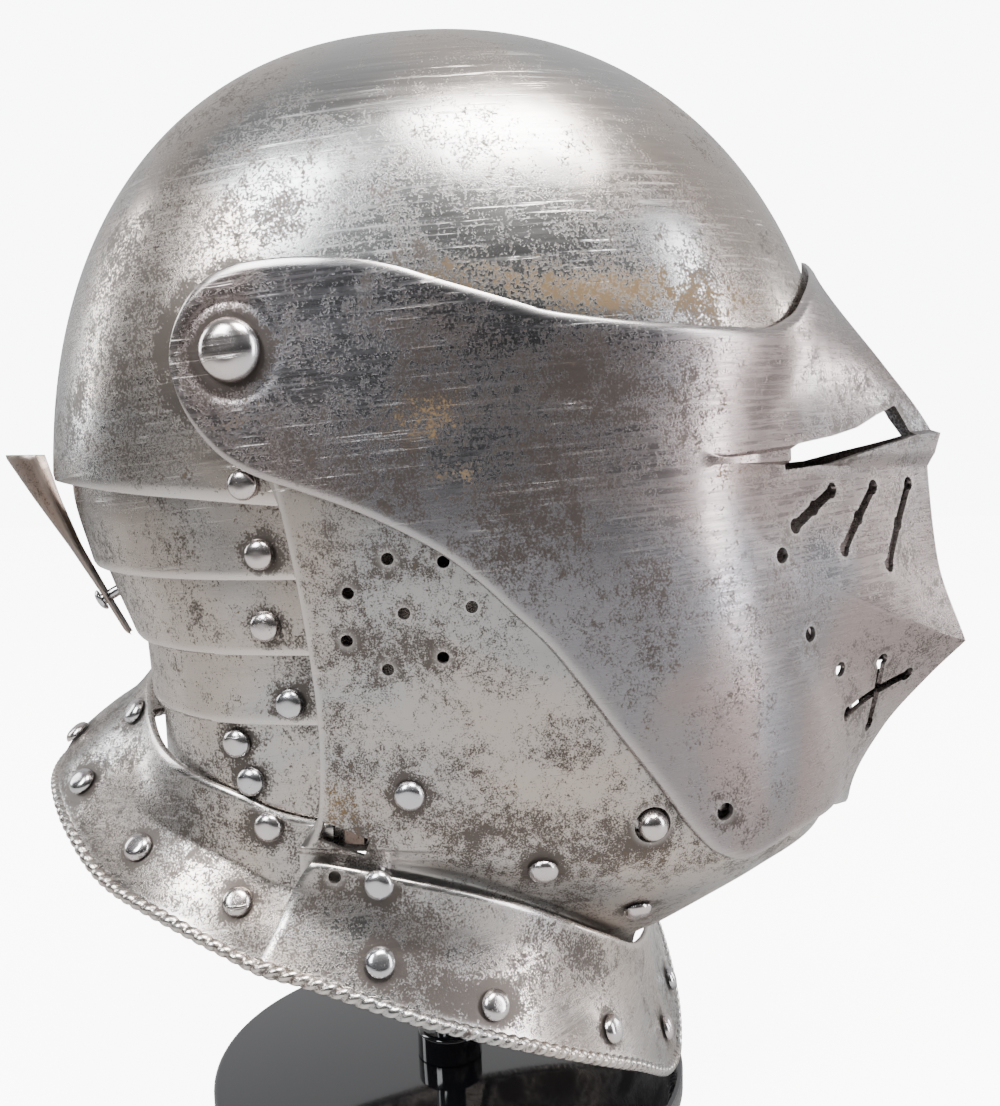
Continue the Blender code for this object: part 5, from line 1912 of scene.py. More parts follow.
FRONT_GORGET = Gorget(
    "front_gorget",
    "front_gorget",
    (
        # degrees, upper, rim
        (0.0, 0.132, 0.008),
        (15.0, 0.146, 0.030),
        (30.0, 0.186, 0.078),
        (50.0, 0.244, 0.138),
        (66.0, 0.274, 0.178),
        (80.0, 0.291, 0.210),
        (90.0, 0.296, 0.226),
    ),
    (
        # share of the way down, half width, front reach
        (0.00, 0.949, 0.398),
        (0.25, 0.955, 0.402),
        (0.50, 0.972, 0.410),
        (0.75, 1.006, 0.422),
        (1.00, 1.046, 0.434),
    ),
    FORM.section_power,
)
REAR_GORGET = Gorget(
    "rear_gorget",
    "neck_and_rear_gorget",
    (
        # degrees, upper, rim
        (78.0, 0.316, 0.202),
        (88.0, 0.326, 0.211),
        (95.0, 0.340, 0.227),
        (105.0, 0.352, 0.247),
        (118.0, 0.368, 0.266),
        (130.0, 0.392, 0.296),
        (141.0, 0.412, 0.316),
        (160.0, 0.420, 0.323),
        (180.0, 0.420, 0.325),
    ),
    (
        # share of the way down, half width, back reach
        (0.00, 0.8840, 0.2485),
        (0.30, 0.8830, 0.2860),
        (0.50, 0.8830, 0.3260),
        (0.64, 0.908, 0.3505),
        (0.80, 0.950, 0.3735),
        (1.00, 0.992, 0.3865),
    ),
    FORM.back_power,
)


@dataclass
class Rivetry:
    """Places every rivet, and gathers them into one piece for each body."""

    bevor: Bevor
    groups: dict[str, RivetGroup] = field(default_factory=dict)
    on_plate: dict[str, list] = field(default_factory=dict)
    nape_pivots: Rows = (
        # distance behind the widest section as a share of the length, height
        (-0.012887, 0.592949),
        (-0.021478, 0.538462),
        (-0.019330, 0.480769),
        (-0.038660, 0.416667),
    )
    gorget_pivot: tuple[float, float] = (-0.134450, 0.275641)
    gorget_pivot_depth: float = 5.6
    temple_depth: float = 5.4
    catch_depth: float = 4.6
    neck_rows: tuple = (("upper", 94.7, 0.41), ("lower", 92.4, 0.62))
    rear_rows: tuple = (
        ("corner", 89.0, 0.12),
        ("top", 133.0, 0.17),
        ("rim_1", 93.8, 0.727),
        ("rim_2", 113.5, 0.715),
        ("rim_3", 132.5, 0.735),
        ("rim_4", 152.0, 0.71),
    )
    front_rows: tuple = (
        ("rim_1", 71.2, 0.714),
        ("rim_2", 55.3, 0.80),
        ("rim_3", 34.0, 0.782),
        ("rim_4", 9.5, 0.755),
    )

    def group(self, body: str) -> RivetGroup:
        """The piece that holds a body's rivets.

        Args:
            body: The body.

        Returns:
            The group, made when first asked for.
        """
        if body not in self.groups:
            self.groups[body] = RivetGroup(body + "_rivets", body)
        return self.groups[body]

    def both(
        self,
        body: str,
        plate: str,
        node: str,
        place: Place,
        shape: RivetShape = PLATE_RIVET,
        depth: float | None = None,
    ) -> None:
        """Adds a rivet on the right and on the left.

        Args:
            body: The body that holds it.
            plate: The plate that its seat darkens.
            node: Its solid's name without the side.
            place: Its seat and normal.
            shape: Its shape.
            depth: Thickness that its shank passes, or None.
        """
        for side, label in ((Side.RIGHT, "right"), (Side.LEFT, "left")):
            there = mirrored(place, side)
            self.group(body).add(there, shape, node + "_" + label, depth)
            self.on_plate.setdefault(plate, []).append((there[0], shape.radius))

    def side_of(self, face: Face, y: float, z: float) -> float:
        """Distance of a plate's side from the middle plane at a y and a height.

        Args:
            face: The face, by angle and share.
            y: The y.
            z: The height.

        Returns:
            The distance.
        """
        angle = np.radians(np.linspace(72, 118, 700))[:, None]
        share = np.linspace(0, 1, 400)[None, :]
        points = face(angle, share)
        off = np.hypot(points[..., 1] - y, points[..., 2] - z)
        return float(abs(points[..., 0][np.unravel_index(off.argmin(), off.shape)]))

    def place_all(self) -> None:
        """Works out every rivet's seat from the faces of the plates."""
        outer = FORM.half_width + 2 * FORM.layer + 0.15
        seat = np.array([-outer, FORM.pivot_y, FORM.pivot_z])
        level = np.array([-1.0, 0.0, 0.0])
        self.both(
            "bowl_and_stand", "visor", "temple_rivet", (seat, level), TEMPLE_RIVET, self.temple_depth
        )
        holders = ("bowl_and_stand", "upper_nape_plate", "middle_nape_plate", "lower_nape_plate")
        plates = ("skull", "lame_1", "lame_2", "lame_3")
        for i, (behind, share) in enumerate(self.nape_pivots):
            y = FORM.behind_widest(behind)
            z = float(FORM.height(share))
            inner = self.side_of(NAPE[i].face, y, z) - FORM.plate
            if i == 0:
                x = self.bowl_side(y, z)
            else:
                x = self.side_of(NAPE[i - 1].face, y, z)
            place = (np.array([-x, y, z]), level)
            name = "nape_pivot_%d" % (i + 1)
            self.both(holders[i], plates[i], name, place, PLATE_RIVET, x - inner)
        y = FORM.behind_widest(self.gorget_pivot[0])
        z = float(FORM.height(self.gorget_pivot[1]))
        x = self.side_of(FRONT_GORGET.face, y, z)
        place = (np.array([-x, y, z]), level)
        raised = RivetShape(seat=1.3)
        self.both("bevor", "front_gorget", "gorget_pivot", place, raised, self.gorget_pivot_depth)
        families = (
            ("neck_and_rear_gorget", "neck_plate", "neck_rivet_", NAPE[3].face, self.neck_rows),
            (
                "neck_and_rear_gorget",
                "rear_gorget",
                "rear_gorget_rivet_",
                REAR_GORGET.face,
                self.rear_rows,
            ),
            (
                "front_gorget",
                "front_gorget",
                "front_gorget_rivet_",
                FRONT_GORGET.face,
                self.front_rows,
            ),
            ("bevor", "bevor", "bevor_rivet_", self.bevor.outer_face, self.bevor.rivet_rows),
        )
        for body, plate, node, face, rows in families:
            for name, degrees, share in rows:
                self.both(body, plate, node + name, place_on(face, degrees, share))
        point, normal = mirrored(place_on(self.bevor.outer_face, *self.bevor.catch_rivet), Side.RIGHT)
        self.group("bevor").add((point, normal), PLATE_RIVET, "catch_rivet", self.catch_depth)

    def bowl_side(self, y: float, z: float) -> float:
        """Distance of the bowl's side from the middle plane, by bisection.

        Args:
            y: The y.
            z: The height.

        Returns:
            The distance.
        """
        low, high = 0.0, 2 * FORM.half_width
        for _ in range(30):
            middle = (low + high) / 2
            inside = FORM.bowl_field(np.array([[middle, y, z]]), 0.0)[0] < 1
            low, high = (middle, high) if inside else (low, middle)
        return low


@dataclass
class PlumeHolder:
    """The tapered half round of old iron behind the right of the nape."""

    side_share: float = -0.536082
    outward: tuple[float, float, float] = (-0.44, 0.90, 0.0)
    plate: float = 1.2
    rivet_share: float = 0.487179
    rows: Rows = (
        # distance behind the widest section, height, depth, half width
        (0.380155, 0.620192, 9.3, 12.5),
        (0.343213, 0.580128, 5.9, 10.2),
        (0.298969, 0.535256, 2.6, 7.4),
        (0.258591, 0.490385, 1.6, 5.4),
        (0.229381, 0.455128, 1.5, 4.6),
    )
    columns: int = 61
    stations: int = 90

    def spine(self, z: np.ndarray) -> np.ndarray:
        """The y of the outermost line at a height.

        Args:
            z: The height.

        Returns:
            The y.
        """
        heights = FORM.height(column(self.rows, 1))
        backs = FORM.behind_widest(column(self.rows, 0))
        return np.interp(-np.asarray(z, float), -heights, backs)

    def grid(self, plate: float) -> np.ndarray:
        """One face of the half round, by turn and station.

        Args:
            plate: How far it is drawn in.

        Returns:
            A grid of points, columns by rows.
        """
        outward = np.array(self.outward) / np.linalg.norm(self.outward)
        sideways = np.cross(outward, (0.0, 0.0, 1.0))
        heights = FORM.height(column(self.rows, 1))
        z = np.linspace(heights[0], heights[-1], self.stations)
        depth = np.interp(-z, -heights, column(self.rows, 2))
        half_width = np.interp(-z, -heights, column(self.rows, 3))
        x = FORM.half_width * self.side_share + 0 * z
        middle = np.stack([x, self.spine(z), z], -1) - depth[:, None] * outward
        turn = np.radians(np.linspace(-92, 92, self.columns))[:, None, None]
        reach = np.maximum(depth - plate, self.plate / 6)[None, :, None]
        across = (half_width - plate)[None, :, None]
        return middle + reach * np.cos(turn) * outward + across * np.sin(turn) * sideways

    def build(self, iron: bpy.types.Material, steel: bpy.types.Material) -> None:
        """Makes and dresses the holder and its rivet.

        Args:
            iron: The holder's material.
            steel: The rivet's material.
        """
        easing = Easing(width=1.6, depth=0.35)
        plate = Plate("plume_holder_plate", self.grid(0.0), self.grid(self.plate), easing)
        obj = plate.build()
        Ageing(border=plate.border(), wear_width=1.2).paint(obj)
        dress(obj, "middle_nape_plate", iron, "old_iron", "plume_holder")
        outward = np.array(self.outward) / np.linalg.norm(self.outward)
        z = float(FORM.height(self.rivet_share))
        lean = float(self.spine(np.array(z + 3)) - self.spine(np.array(z - 3))) / 6
        normal = outward - np.array([0.0, 0.0, lean * outward[1]])
        normal /= np.linalg.norm(normal)
        x = FORM.half_width * self.side_share
        place = (np.array([x, float(self.spine(np.array(z))), z]), normal)
        group = RivetGroup("plume_holder_rivet_head", "middle_nape_plate")
        shape = RivetShape(radius=3.2, rise=1.8)
        group.add(place, shape, "plume_holder_rivet", 7.6)
        group.build(steel)


@dataclass
class Catch:
    """The visor's catch: its button in the bevor's hole, its stud and leaf behind."""

    button_radius: float = 3.9
    button_rise: float = 2.8
    lift: float = 0.6
    foot: float = -2.3

    def build(self, bevor: Bevor, steel: bpy.types.Material, plain: bpy.types.Material) -> None:
        """Makes the button and dresses the plain solids behind it.

        Args:
            bevor: The plate that it sits in.
            steel: The rivets' material.
            plain: The plates' material.
        """
        place = mirrored(place_on(bevor.outer_face, *bevor.catch_button), Side.RIGHT)
        rows = [(0.0, self.foot), (self.button_radius, self.foot)]
        rows.append((self.button_radius, self.lift))
        for turn in np.radians(np.linspace(8, 90, 12)):
            radius = self.button_radius * math.cos(turn) if turn < 1.57 else 0.0
            rows.append((radius, self.lift + self.button_rise * math.sin(turn)))
        points, faces = turned_mesh(np.array(rows), place, 40)
        obj = mesh_object("catch_button_head", points, faces, 50)
        face_outward(obj)
        Ageing().paint(obj)
        seat = circle_on(place[0] + place[1] * self.lift, place[1], self.button_radius)
        dirty_foot(obj, [seat])
        dress(obj, "catch", steel, "rivet_steel", "catch_button")
        nodes = FRAME["nodes"]
        for name, finish in (("catch_leaf", plain), ("catch_stud", steel)):
            finish_node(nodes[name], finish)


@dataclass
class Stand:
    """The glossy black disc and the plain post that carries the helmet."""

    radius: float = 76.2
    thickness: float = 8.0
    edge: float = 1.5
    y: float = 7.5
    seat_gap: float = 0.3
    foot_radius: float = 10.5
    foot_height: float = 9.0
    foot_edge: float = 1.5
    post_radius: float = 5.0
    pad_radius: float = 20.0
    pad_thickness: float = 5.0
    pad_rise: float = 3.1
    crown_gap: float = 0.5

    def disc_profile(self) -> np.ndarray:
        """Returns: radius and height of the disc, with rounded edges."""
        rows = [(0.0, 0.0)]
        for turn in np.radians(np.linspace(-90, 90, 15)):
            side = self.edge * (1 - math.cos(turn))
            middle = self.edge if turn < 0 else self.thickness - self.edge
            rows.append((self.radius - side, middle + self.edge * math.sin(turn)))
        rows.append((0.0, self.thickness))
        return np.array(rows)

    def post_profile(self) -> np.ndarray:
        """Returns: radius and height of the post, from its foot to the pad."""
        foot = self.thickness + self.seat_gap
        top = foot + self.foot_height
        crown = FORM.rim_clearance + FORM.tall - FORM.plate - self.crown_gap
        pad = crown - self.pad_rise
        low = top - self.foot_edge
        rows = [(0.0, foot), (self.foot_radius, foot), (self.foot_radius, low)]
        for turn in np.radians(np.linspace(15, 90, 6)):
            side = self.foot_edge * (1 - math.cos(turn))
            rows.append((self.foot_radius - side, low + self.foot_edge * math.sin(turn)))
        rows += [(self.post_radius, top), (self.post_radius, pad - self.pad_thickness)]
        rows += [(self.pad_radius, pad - self.pad_thickness), (self.pad_radius, pad)]
        rows += [(self.pad_radius * 0.6, crown - self.pad_rise / 3), (0.0, crown)]
        return np.array(rows)

    def build(self, finish: bpy.types.Material) -> None:
        """Makes and dresses the stand.

        Args:
            finish: The black gloss.
        """
        parts = (
            ("stand_disc", "stand_base", self.disc_profile(), 180),
            ("stand_upright", "stand_post", self.post_profile(), 72),
        )
        place = (np.array([0.0, self.y, 0.0]), np.array([0.0, 0.0, 1.0]))
        for name, node, profile, sides in parts:
            points, faces = turned_mesh(profile, place, sides)
            obj = mesh_object(name, points, faces, 40)
            face_outward(obj)
            dress(obj, "bowl_and_stand", finish, "black_gloss", node)


FRAME: dict = {}


def finish_node(obj: bpy.types.Object, finish: bpy.types.Material) -> None:
    """Gives a plain solid a new material.

    Args:
        obj: The solid.
        finish: The material.
    """
    if obj.material_slots:
        for slot in obj.material_slots:
            slot.material = finish
    else:
        obj.data.materials.append(finish)


class Sketch:
    """Adds linked nodes to one node tree."""

    def __init__(self, tree: bpy.types.NodeTree) -> None:
        """Keeps the tree.

        Args:
            tree: The node tree.
        """
        self.tree = tree

    def add(self, kind: str, inputs: dict | None = None, **settings: object) -> bpy.types.Node:
        """Adds a node.

        Args:
            kind: The node's type.
            inputs: Sockets to link or values to set, by name or index.
            settings: The node's own settings.

        Returns:
            The node.
        """
        node = self.tree.nodes.new(kind)
        for name, value in settings.items():
            setattr(node, name, value)
        for key, value in (inputs or {}).items():
            if isinstance(value, bpy.types.NodeSocket):
                self.tree.links.new(value, node.inputs[key])
            else:
                node.inputs[key].default_value = value
        return node

    def sum(self, first: Value, second: Value) -> bpy.types.NodeSocket:
        """Adds two values.

        Args:
            first: A socket or a number.
            second: A socket or a number.

        Returns:
            The result.
        """
        return self.math("ADD", first, second)

    def math(
        self, operation: str, first: Value, second: Value, clamp: bool = False
    ) -> bpy.types.NodeSocket:
        """One sum of two values.

        Args:
            operation: The kind of sum.
            first: A socket or a number.
            second: A socket or a number.
            clamp: Whether to hold the result between 0 and 1.

        Returns:
            The result.
        """
        inputs = {0: first, 1: second}
        node = self.add("ShaderNodeMath", inputs, operation=operation, use_clamp=clamp)
        return node.outputs[0]

    def noise(
        self,
        vector: bpy.types.NodeSocket,
        scale: Value,
        detail: float,
        rough: float,
        twist: float = 0.0,
    ) -> bpy.types.NodeSocket:
        """A noise between about 0.25 and 0.75.

        Args:
            vector: Where it is read.
            scale: How fine it is.
            detail: How many finer layers it has.
            rough: How strong those are.
            twist: How much it is distorted.

        Returns:
            The noise's value.
        """
        inputs = {
            "Vector": vector,
            "Scale": scale,
            "Detail": detail,
            "Roughness": rough,
            "Distortion": twist,
        }
        return self.add("ShaderNodeTexNoise", inputs).outputs["Fac"]

    def ramp(self, value: Value, low: float, high: float) -> bpy.types.NodeSocket:
        """Eases a value from 0 at low to 1 at high.

        Args:
            value: The value.
            low: Where it starts.
            high: Where it ends.

        Returns:
            The eased value.
        """
        inputs = {"Value": value, "From Min": low, "From Max": high}
        node = self.add("ShaderNodeMapRange", inputs, interpolation_type="SMOOTHSTEP")
        return node.outputs["Result"]

    def blend(self, share: Value, first: Colour, second: Colour) -> bpy.types.NodeSocket:
        """Mixes two colours.

        Args:
            share: How much of the second.
            first: A colour or a socket.
            second: A colour or a socket.

        Returns:
            The mix.
        """
        node = self.add("ShaderNodeMix", data_type="RGBA")
        for index, value in ((0, share), (6, first), (7, second)):
            if isinstance(value, bpy.types.NodeSocket):
                self.tree.links.new(value, node.inputs[index])
            else:
                node.inputs[index].default_value = value
        return node.outputs[2]

    def slide(self, share: Value, first: Value, second: Value) -> bpy.types.NodeSocket:
        """Mixes two numbers.

        Args:
            share: How much of the second.
            first: A number or a socket.
            second: A number or a socket.

        Returns:
            The mix.
        """
        node = self.add("ShaderNodeMix", {0: share, 2: first, 3: second}, data_type="FLOAT")
        return node.outputs[0]


def new_group(name: str, inputs: tuple, outputs: tuple) -> tuple:
    """Starts a shader node group with named sockets.

    Args:
        name: The group's name.
        inputs: Name, kind and default value of each input.
        outputs: Name and kind of each output.

    Returns:
        The group's sketch, its input node and its output node.
    """
    tree = bpy.data.node_groups.new(name, "ShaderNodeTree")
    for label, kind, value in inputs:
        socket = tree.interface.new_socket(name=label, in_out="INPUT", socket_type=kind)
        if value is not None:
            socket.default_value = value
    for label, kind in outputs:
        tree.interface.new_socket(name=label, in_out="OUTPUT", socket_type=kind)
    sketch = Sketch(tree)
    return sketch, sketch.add("NodeGroupInput"), sketch.add("NodeGroupOutput")


NUMBER = "NodeSocketFloat"
VECTOR = "NodeSocketVector"


def tarnish_group() -> bpy.types.NodeTree:
    """The mottled tarnish: clouds, mottles and speckles added up and cut off.

    Returns:
        The group, with the masks of tarnish and rust, a slow film and fine pits.
    """
    sketch, given, out = new_group(
        "mottled tarnish",
        (
            ("Position", VECTOR, None),
            ("Amount", NUMBER, 0.0),
            ("Mottle Size", NUMBER, 5.0),
            ("Tarnish_and_highlight", NUMBER, 0.0),
            ("Halo", NUMBER, 0.0),
            ("Wear", NUMBER, 0.0),
            ("Rust", NUMBER, 0.0),
        ),
        (("Tarnish_shade_and_highlight", NUMBER), ("Rusty", NUMBER), ("Film", NUMBER), ("Pits", NUMBER)),
    )
    position = given.outputs["Position"]
    scale = sketch.math("DIVIDE", 1000.0, given.outputs["Mottle Size"])
    clouds = sketch.noise(position, sketch.math("MULTIPLY", scale, 0.14), 4.0, 0.55, 0.4)
    mottles = sketch.noise(position, scale, 9.0, 0.68, 0.5)
    speckles = sketch.noise(position, sketch.math("MULTIPLY", scale, 5.5), 5.0, 0.6)
    film = sketch.noise(position, 16.0, 3.0, 0.5, 0.6)
    total = sketch.math("MULTIPLY", clouds, 1.1)
    total = sketch.sum(total, sketch.math("MULTIPLY", mottles, 1.3))
    total = sketch.sum(total, sketch.math("MULTIPLY", speckles, 1.6))
    total = sketch.math("SUBTRACT", total, 2.0)
    total = sketch.sum(total, given.outputs["Amount"])
    # Negative patches in this mask paint highlights; the halo added below also paints the shadow of the
    # temple lobes on the skull.
    total = sketch.sum(total, given.outputs["Tarnish_and_highlight"])
    total = sketch.sum(total, sketch.math("MULTIPLY", given.outputs["Halo"], 0.42))
    total = sketch.math("SUBTRACT", total, sketch.math("MULTIPLY", given.outputs["Wear"], 0.5))
    tarnish_shade_and_highlight = sketch.ramp(total, 0.0, 0.34)
    grit = sketch.math("MULTIPLY", sketch.math("SUBTRACT", speckles, 0.5), 2.4)
    rust = sketch.sum(given.outputs["Rust"], grit)
    patches = sketch.math("MULTIPLY", sketch.math("SUBTRACT", mottles, 0.5), 1.8)
    rust = sketch.sum(rust, patches)
    rusty = sketch.ramp(rust, 0.40, 0.85)
    links = sketch.tree.links
    links.new(tarnish_shade_and_highlight, out.inputs["Tarnish_shade_and_highlight"])
    links.new(rusty, out.inputs["Rusty"])
    links.new(film, out.inputs["Film"])
    links.new(speckles, out.inputs["Pits"])
    return sketch.tree


def scratch_group() -> bpy.types.NodeTree:
    """Fine scratches: a noise drawn out along one direction and cut to thin lines.

    Returns:
        The group, with the lines and a soft brushed grain.
    """
    sketch, given, out = new_group(
        "fine scratches",
        (("Position", VECTOR, None), ("Lean", NUMBER, 0.0), ("Fineness", NUMBER, 1100.0)),
        (("Lines", NUMBER), ("Grain", NUMBER)),
    )
    turn = sketch.add("ShaderNodeCombineXYZ", {0: given.outputs["Lean"]}).outputs[0]
    turned = sketch.add(
        "ShaderNodeVectorRotate",
        {"Vector": given.outputs["Position"], "Rotation": turn},
        rotation_type="EULER_XYZ",
    ).outputs[0]
    fine = given.outputs["Fineness"]
    stretch = sketch.add(
        "ShaderNodeCombineXYZ", {0: 60.0, 1: 28.0, 2: fine}
    ).outputs[0]
    drawn = sketch.add(
        "ShaderNodeVectorMath", {0: turned, 1: stretch}, operation="MULTIPLY"
    ).outputs[0]
    grain = sketch.noise(drawn, 1.0, 3.0, 0.6)
    lines = sketch.ramp(grain, 0.60, 0.72)
    where = sketch.noise(given.outputs["Position"], 42.0, 3.0, 0.55)
    lines = sketch.math("MULTIPLY", lines, sketch.ramp(where, 0.44, 0.60))
    sketch.tree.links.new(lines, out.inputs["Lines"])
    sketch.tree.links.new(grain, out.inputs["Grain"])
    return sketch.tree


@dataclass(frozen=True)
class SteelFinish:
    """Old polished steel: bare tints, tarnish, rust and scratches."""

    name: str
    warm: tuple[float, ...] = (0.42, 0.365, 0.325, 1.0)
    cool: tuple[float, ...] = (0.35, 0.345, 0.34, 1.0)
    dark: tuple[float, ...] = (0.055, 0.044, 0.038, 1.0)
    rust: tuple[float, ...] = (0.13, 0.075, 0.022, 1.0)
    bright: tuple[float, ...] = (0.66, 0.62, 0.59, 1.0)
    amount: float = 0.0
    mottle_size: float = 5.0
    smooth_part: float = 0.24
    tarnished_part: float = 0.46
    scratch_lean: float = 0.08
    scratch_depth: float = 0.35
    pit_depth: float = 0.25
    dents: float = 0.5

    def make(self, tarnish_and_highlight: bpy.types.NodeTree, scratch: bpy.types.NodeTree) -> bpy.types.Material:
        """Builds the material.

        Args:
            tarnish_and_highlight: The tarnish group.
            scratch: The scratch group.

        Returns:
            The material.
        """
        made = bpy.data.materials.new(self.name)
        made.use_nodes = True
        shader = made.node_tree.nodes["Principled BSDF"]
        sketch = Sketch(made.node_tree)
        position = sketch.add("ShaderNodeTexCoord").outputs["Object"]
        masks = {}
        for label in ("wear", "halo", "tarnish_and_highlight", "rust"):
            mask = sketch.add("ShaderNodeAttribute", attribute_name=label)
            masks[label] = mask.outputs["Fac"]
        old = sketch.add("ShaderNodeGroup", node_tree=tarnish_and_highlight)
        lines = sketch.add("ShaderNodeGroup", node_tree=scratch)
        links = made.node_tree.links
        for node in (old, lines):
            links.new(position, node.inputs["Position"])
        for label in ("wear", "halo", "tarnish_and_highlight", "rust"):
            links.new(masks[label], old.inputs[label.capitalize()])
        old.inputs["Amount"].default_value = self.amount
        old.inputs["Mottle Size"].default_value = self.mottle_size
        lines.inputs["Lean"].default_value = self.scratch_lean
        tarnish_shade_and_highlight = old.outputs["Tarnish_shade_and_highlight"]
        bare = sketch.blend(sketch.ramp(old.outputs["Film"], 0.38, 0.62), self.warm, self.cool)
        shine = sketch.math("MULTIPLY", lines.outputs["Lines"], 0.35)
        bare = sketch.blend(shine, bare, self.bright)
        # This darkening also carries painted highlights, as lighter patches, and the painted shadow of
        # the temple lobes on the skull, besides real tarnishing.
        colour = sketch.blend(sketch.math("MULTIPLY", tarnish_shade_and_highlight, 0.92), bare, self.dark)
        colour = sketch.blend(sketch.math("MULTIPLY", old.outputs["Rusty"], 0.75), colour, self.rust)
        worn = sketch.math("MULTIPLY", masks["wear"], 0.5, True)
        colour = sketch.blend(worn, colour, self.bright)
        rough = sketch.slide(tarnish_shade_and_highlight, self.smooth_part, self.tarnished_part)
        grain = sketch.math("SUBTRACT", lines.outputs["Grain"], 0.5)
        rough = sketch.sum(rough, sketch.math("MULTIPLY", grain, 0.22))
        rough = sketch.sum(rough, sketch.math("MULTIPLY", old.outputs["Rusty"], 0.25))
        metal = sketch.math("SUBTRACT", 1.0, sketch.math("MULTIPLY", old.outputs["Rusty"], 0.6))
        metal = sketch.math("SUBTRACT", metal, sketch.math("MULTIPLY", tarnish_shade_and_highlight, 0.15))
        links.new(colour, shader.inputs["Base Color"])
        links.new(rough, shader.inputs["Roughness"])
        links.new(metal, shader.inputs["Metallic"])
        hammered = sketch.noise(position, 34.0, 2.0, 0.4)
        dents = sketch.add(
            "ShaderNodeBump",
            {"Height": hammered, "Strength": self.dents, "Distance": 0.0016},
        )
        height = sketch.math("MULTIPLY", lines.outputs["Lines"], -self.scratch_depth)
        pits = sketch.math("MULTIPLY", tarnish_shade_and_highlight, old.outputs["Pits"])
        height = sketch.math("SUBTRACT", height, sketch.math("MULTIPLY", pits, self.pit_depth))
        fine = sketch.add(
            "ShaderNodeBump",
            {
                "Height": height,
                "Strength": 0.5,
                "Distance": 0.0003,
                "Normal": dents.outputs["Normal"],
            },
        )
        links.new(fine.outputs["Normal"], shader.inputs["Normal"])
        return made


@dataclass(frozen=True)
class GlossFinish:
    """Glossy black with a faint dust."""

    name: str = "black gloss"
    colour: tuple[float, ...] = (0.008, 0.008, 0.010, 1.0)
    roughness: float = 0.07

    def make(self) -> bpy.types.Material:
        """Returns: the material."""
        made = bpy.data.materials.new(self.name)
        made.use_nodes = True
        shader = made.node_tree.nodes["Principled BSDF"]
        shader.inputs["Base Color"].default_value = self.colour
        sketch = Sketch(made.node_tree)
        position = sketch.add("ShaderNodeTexCoord").outputs["Object"]
        dust = sketch.ramp(sketch.noise(position, 60.0, 6.0, 0.7), 0.5, 0.8)
        rough = sketch.slide(dust, self.roughness, self.roughness + 0.06)
        made.node_tree.links.new(rough, shader.inputs["Roughness"])
        shader.inputs["Coat Weight"].default_value = 0.5
        shader.inputs["Coat Roughness"].default_value = 0.03
        return made


SKULL_STEEL = SteelFinish("skull steel", amount=0.0, mottle_size=3.6, smooth_part=0.25)
SHADED_VISOR_STEEL = SteelFinish(
    "visor steel with painted shade",
    # Darker bare tints than the other plates: painted shade standing in for the dark room that the
    # visor reflects.
    warm=(0.25, 0.205, 0.195, 1.0),
    cool=(0.20, 0.195, 0.205, 1.0),
    bright=(0.52, 0.49, 0.47, 1.0),
    amount=0.0,
    mottle_size=3.2,
    smooth_part=0.27,
)
BEVOR_STEEL = SteelFinish("bevor steel", amount=0.03, mottle_size=2.4, smooth_part=0.33)
LAME_STEEL = SteelFinish("lame steel", amount=0.0, mottle_size=3.2, smooth_part=0.25)
GORGET_STEEL = SteelFinish("gorget steel", amount=0.05, mottle_size=3.0, smooth_part=0.26)
RIVET_STEEL = SteelFinish(
    "rivet steel",
    warm=(0.54, 0.49, 0.47, 1.0),
    cool=(0.47, 0.47, 0.49, 1.0),
    amount=-0.24,
    mottle_size=2.6,
    smooth_part=0.22,
    dents=0.25,
)
OLD_IRON = SteelFinish(
    "old iron",
    warm=(0.20, 0.145, 0.115, 1.0),
    cool=(0.16, 0.125, 0.11, 1.0),
    dark=(0.05, 0.038, 0.032, 1.0),
    bright=(0.42, 0.36, 0.32, 1.0),
    amount=0.02,
    mottle_size=3.0,
    smooth_part=0.42,
    tarnished_part=0.6,
    scratch_lean=0.9,
    scratch_depth=0.8,
)


@dataclass(frozen=True)
class SoftBox:
    """One soft area light that points at the helmet."""

    name: str
    azimuth: float
    elevation: float
    distance: float
    width: float
    tall: float
    power: float
    colour: tuple[float, float, float] = (1.0, 1.0, 1.0)


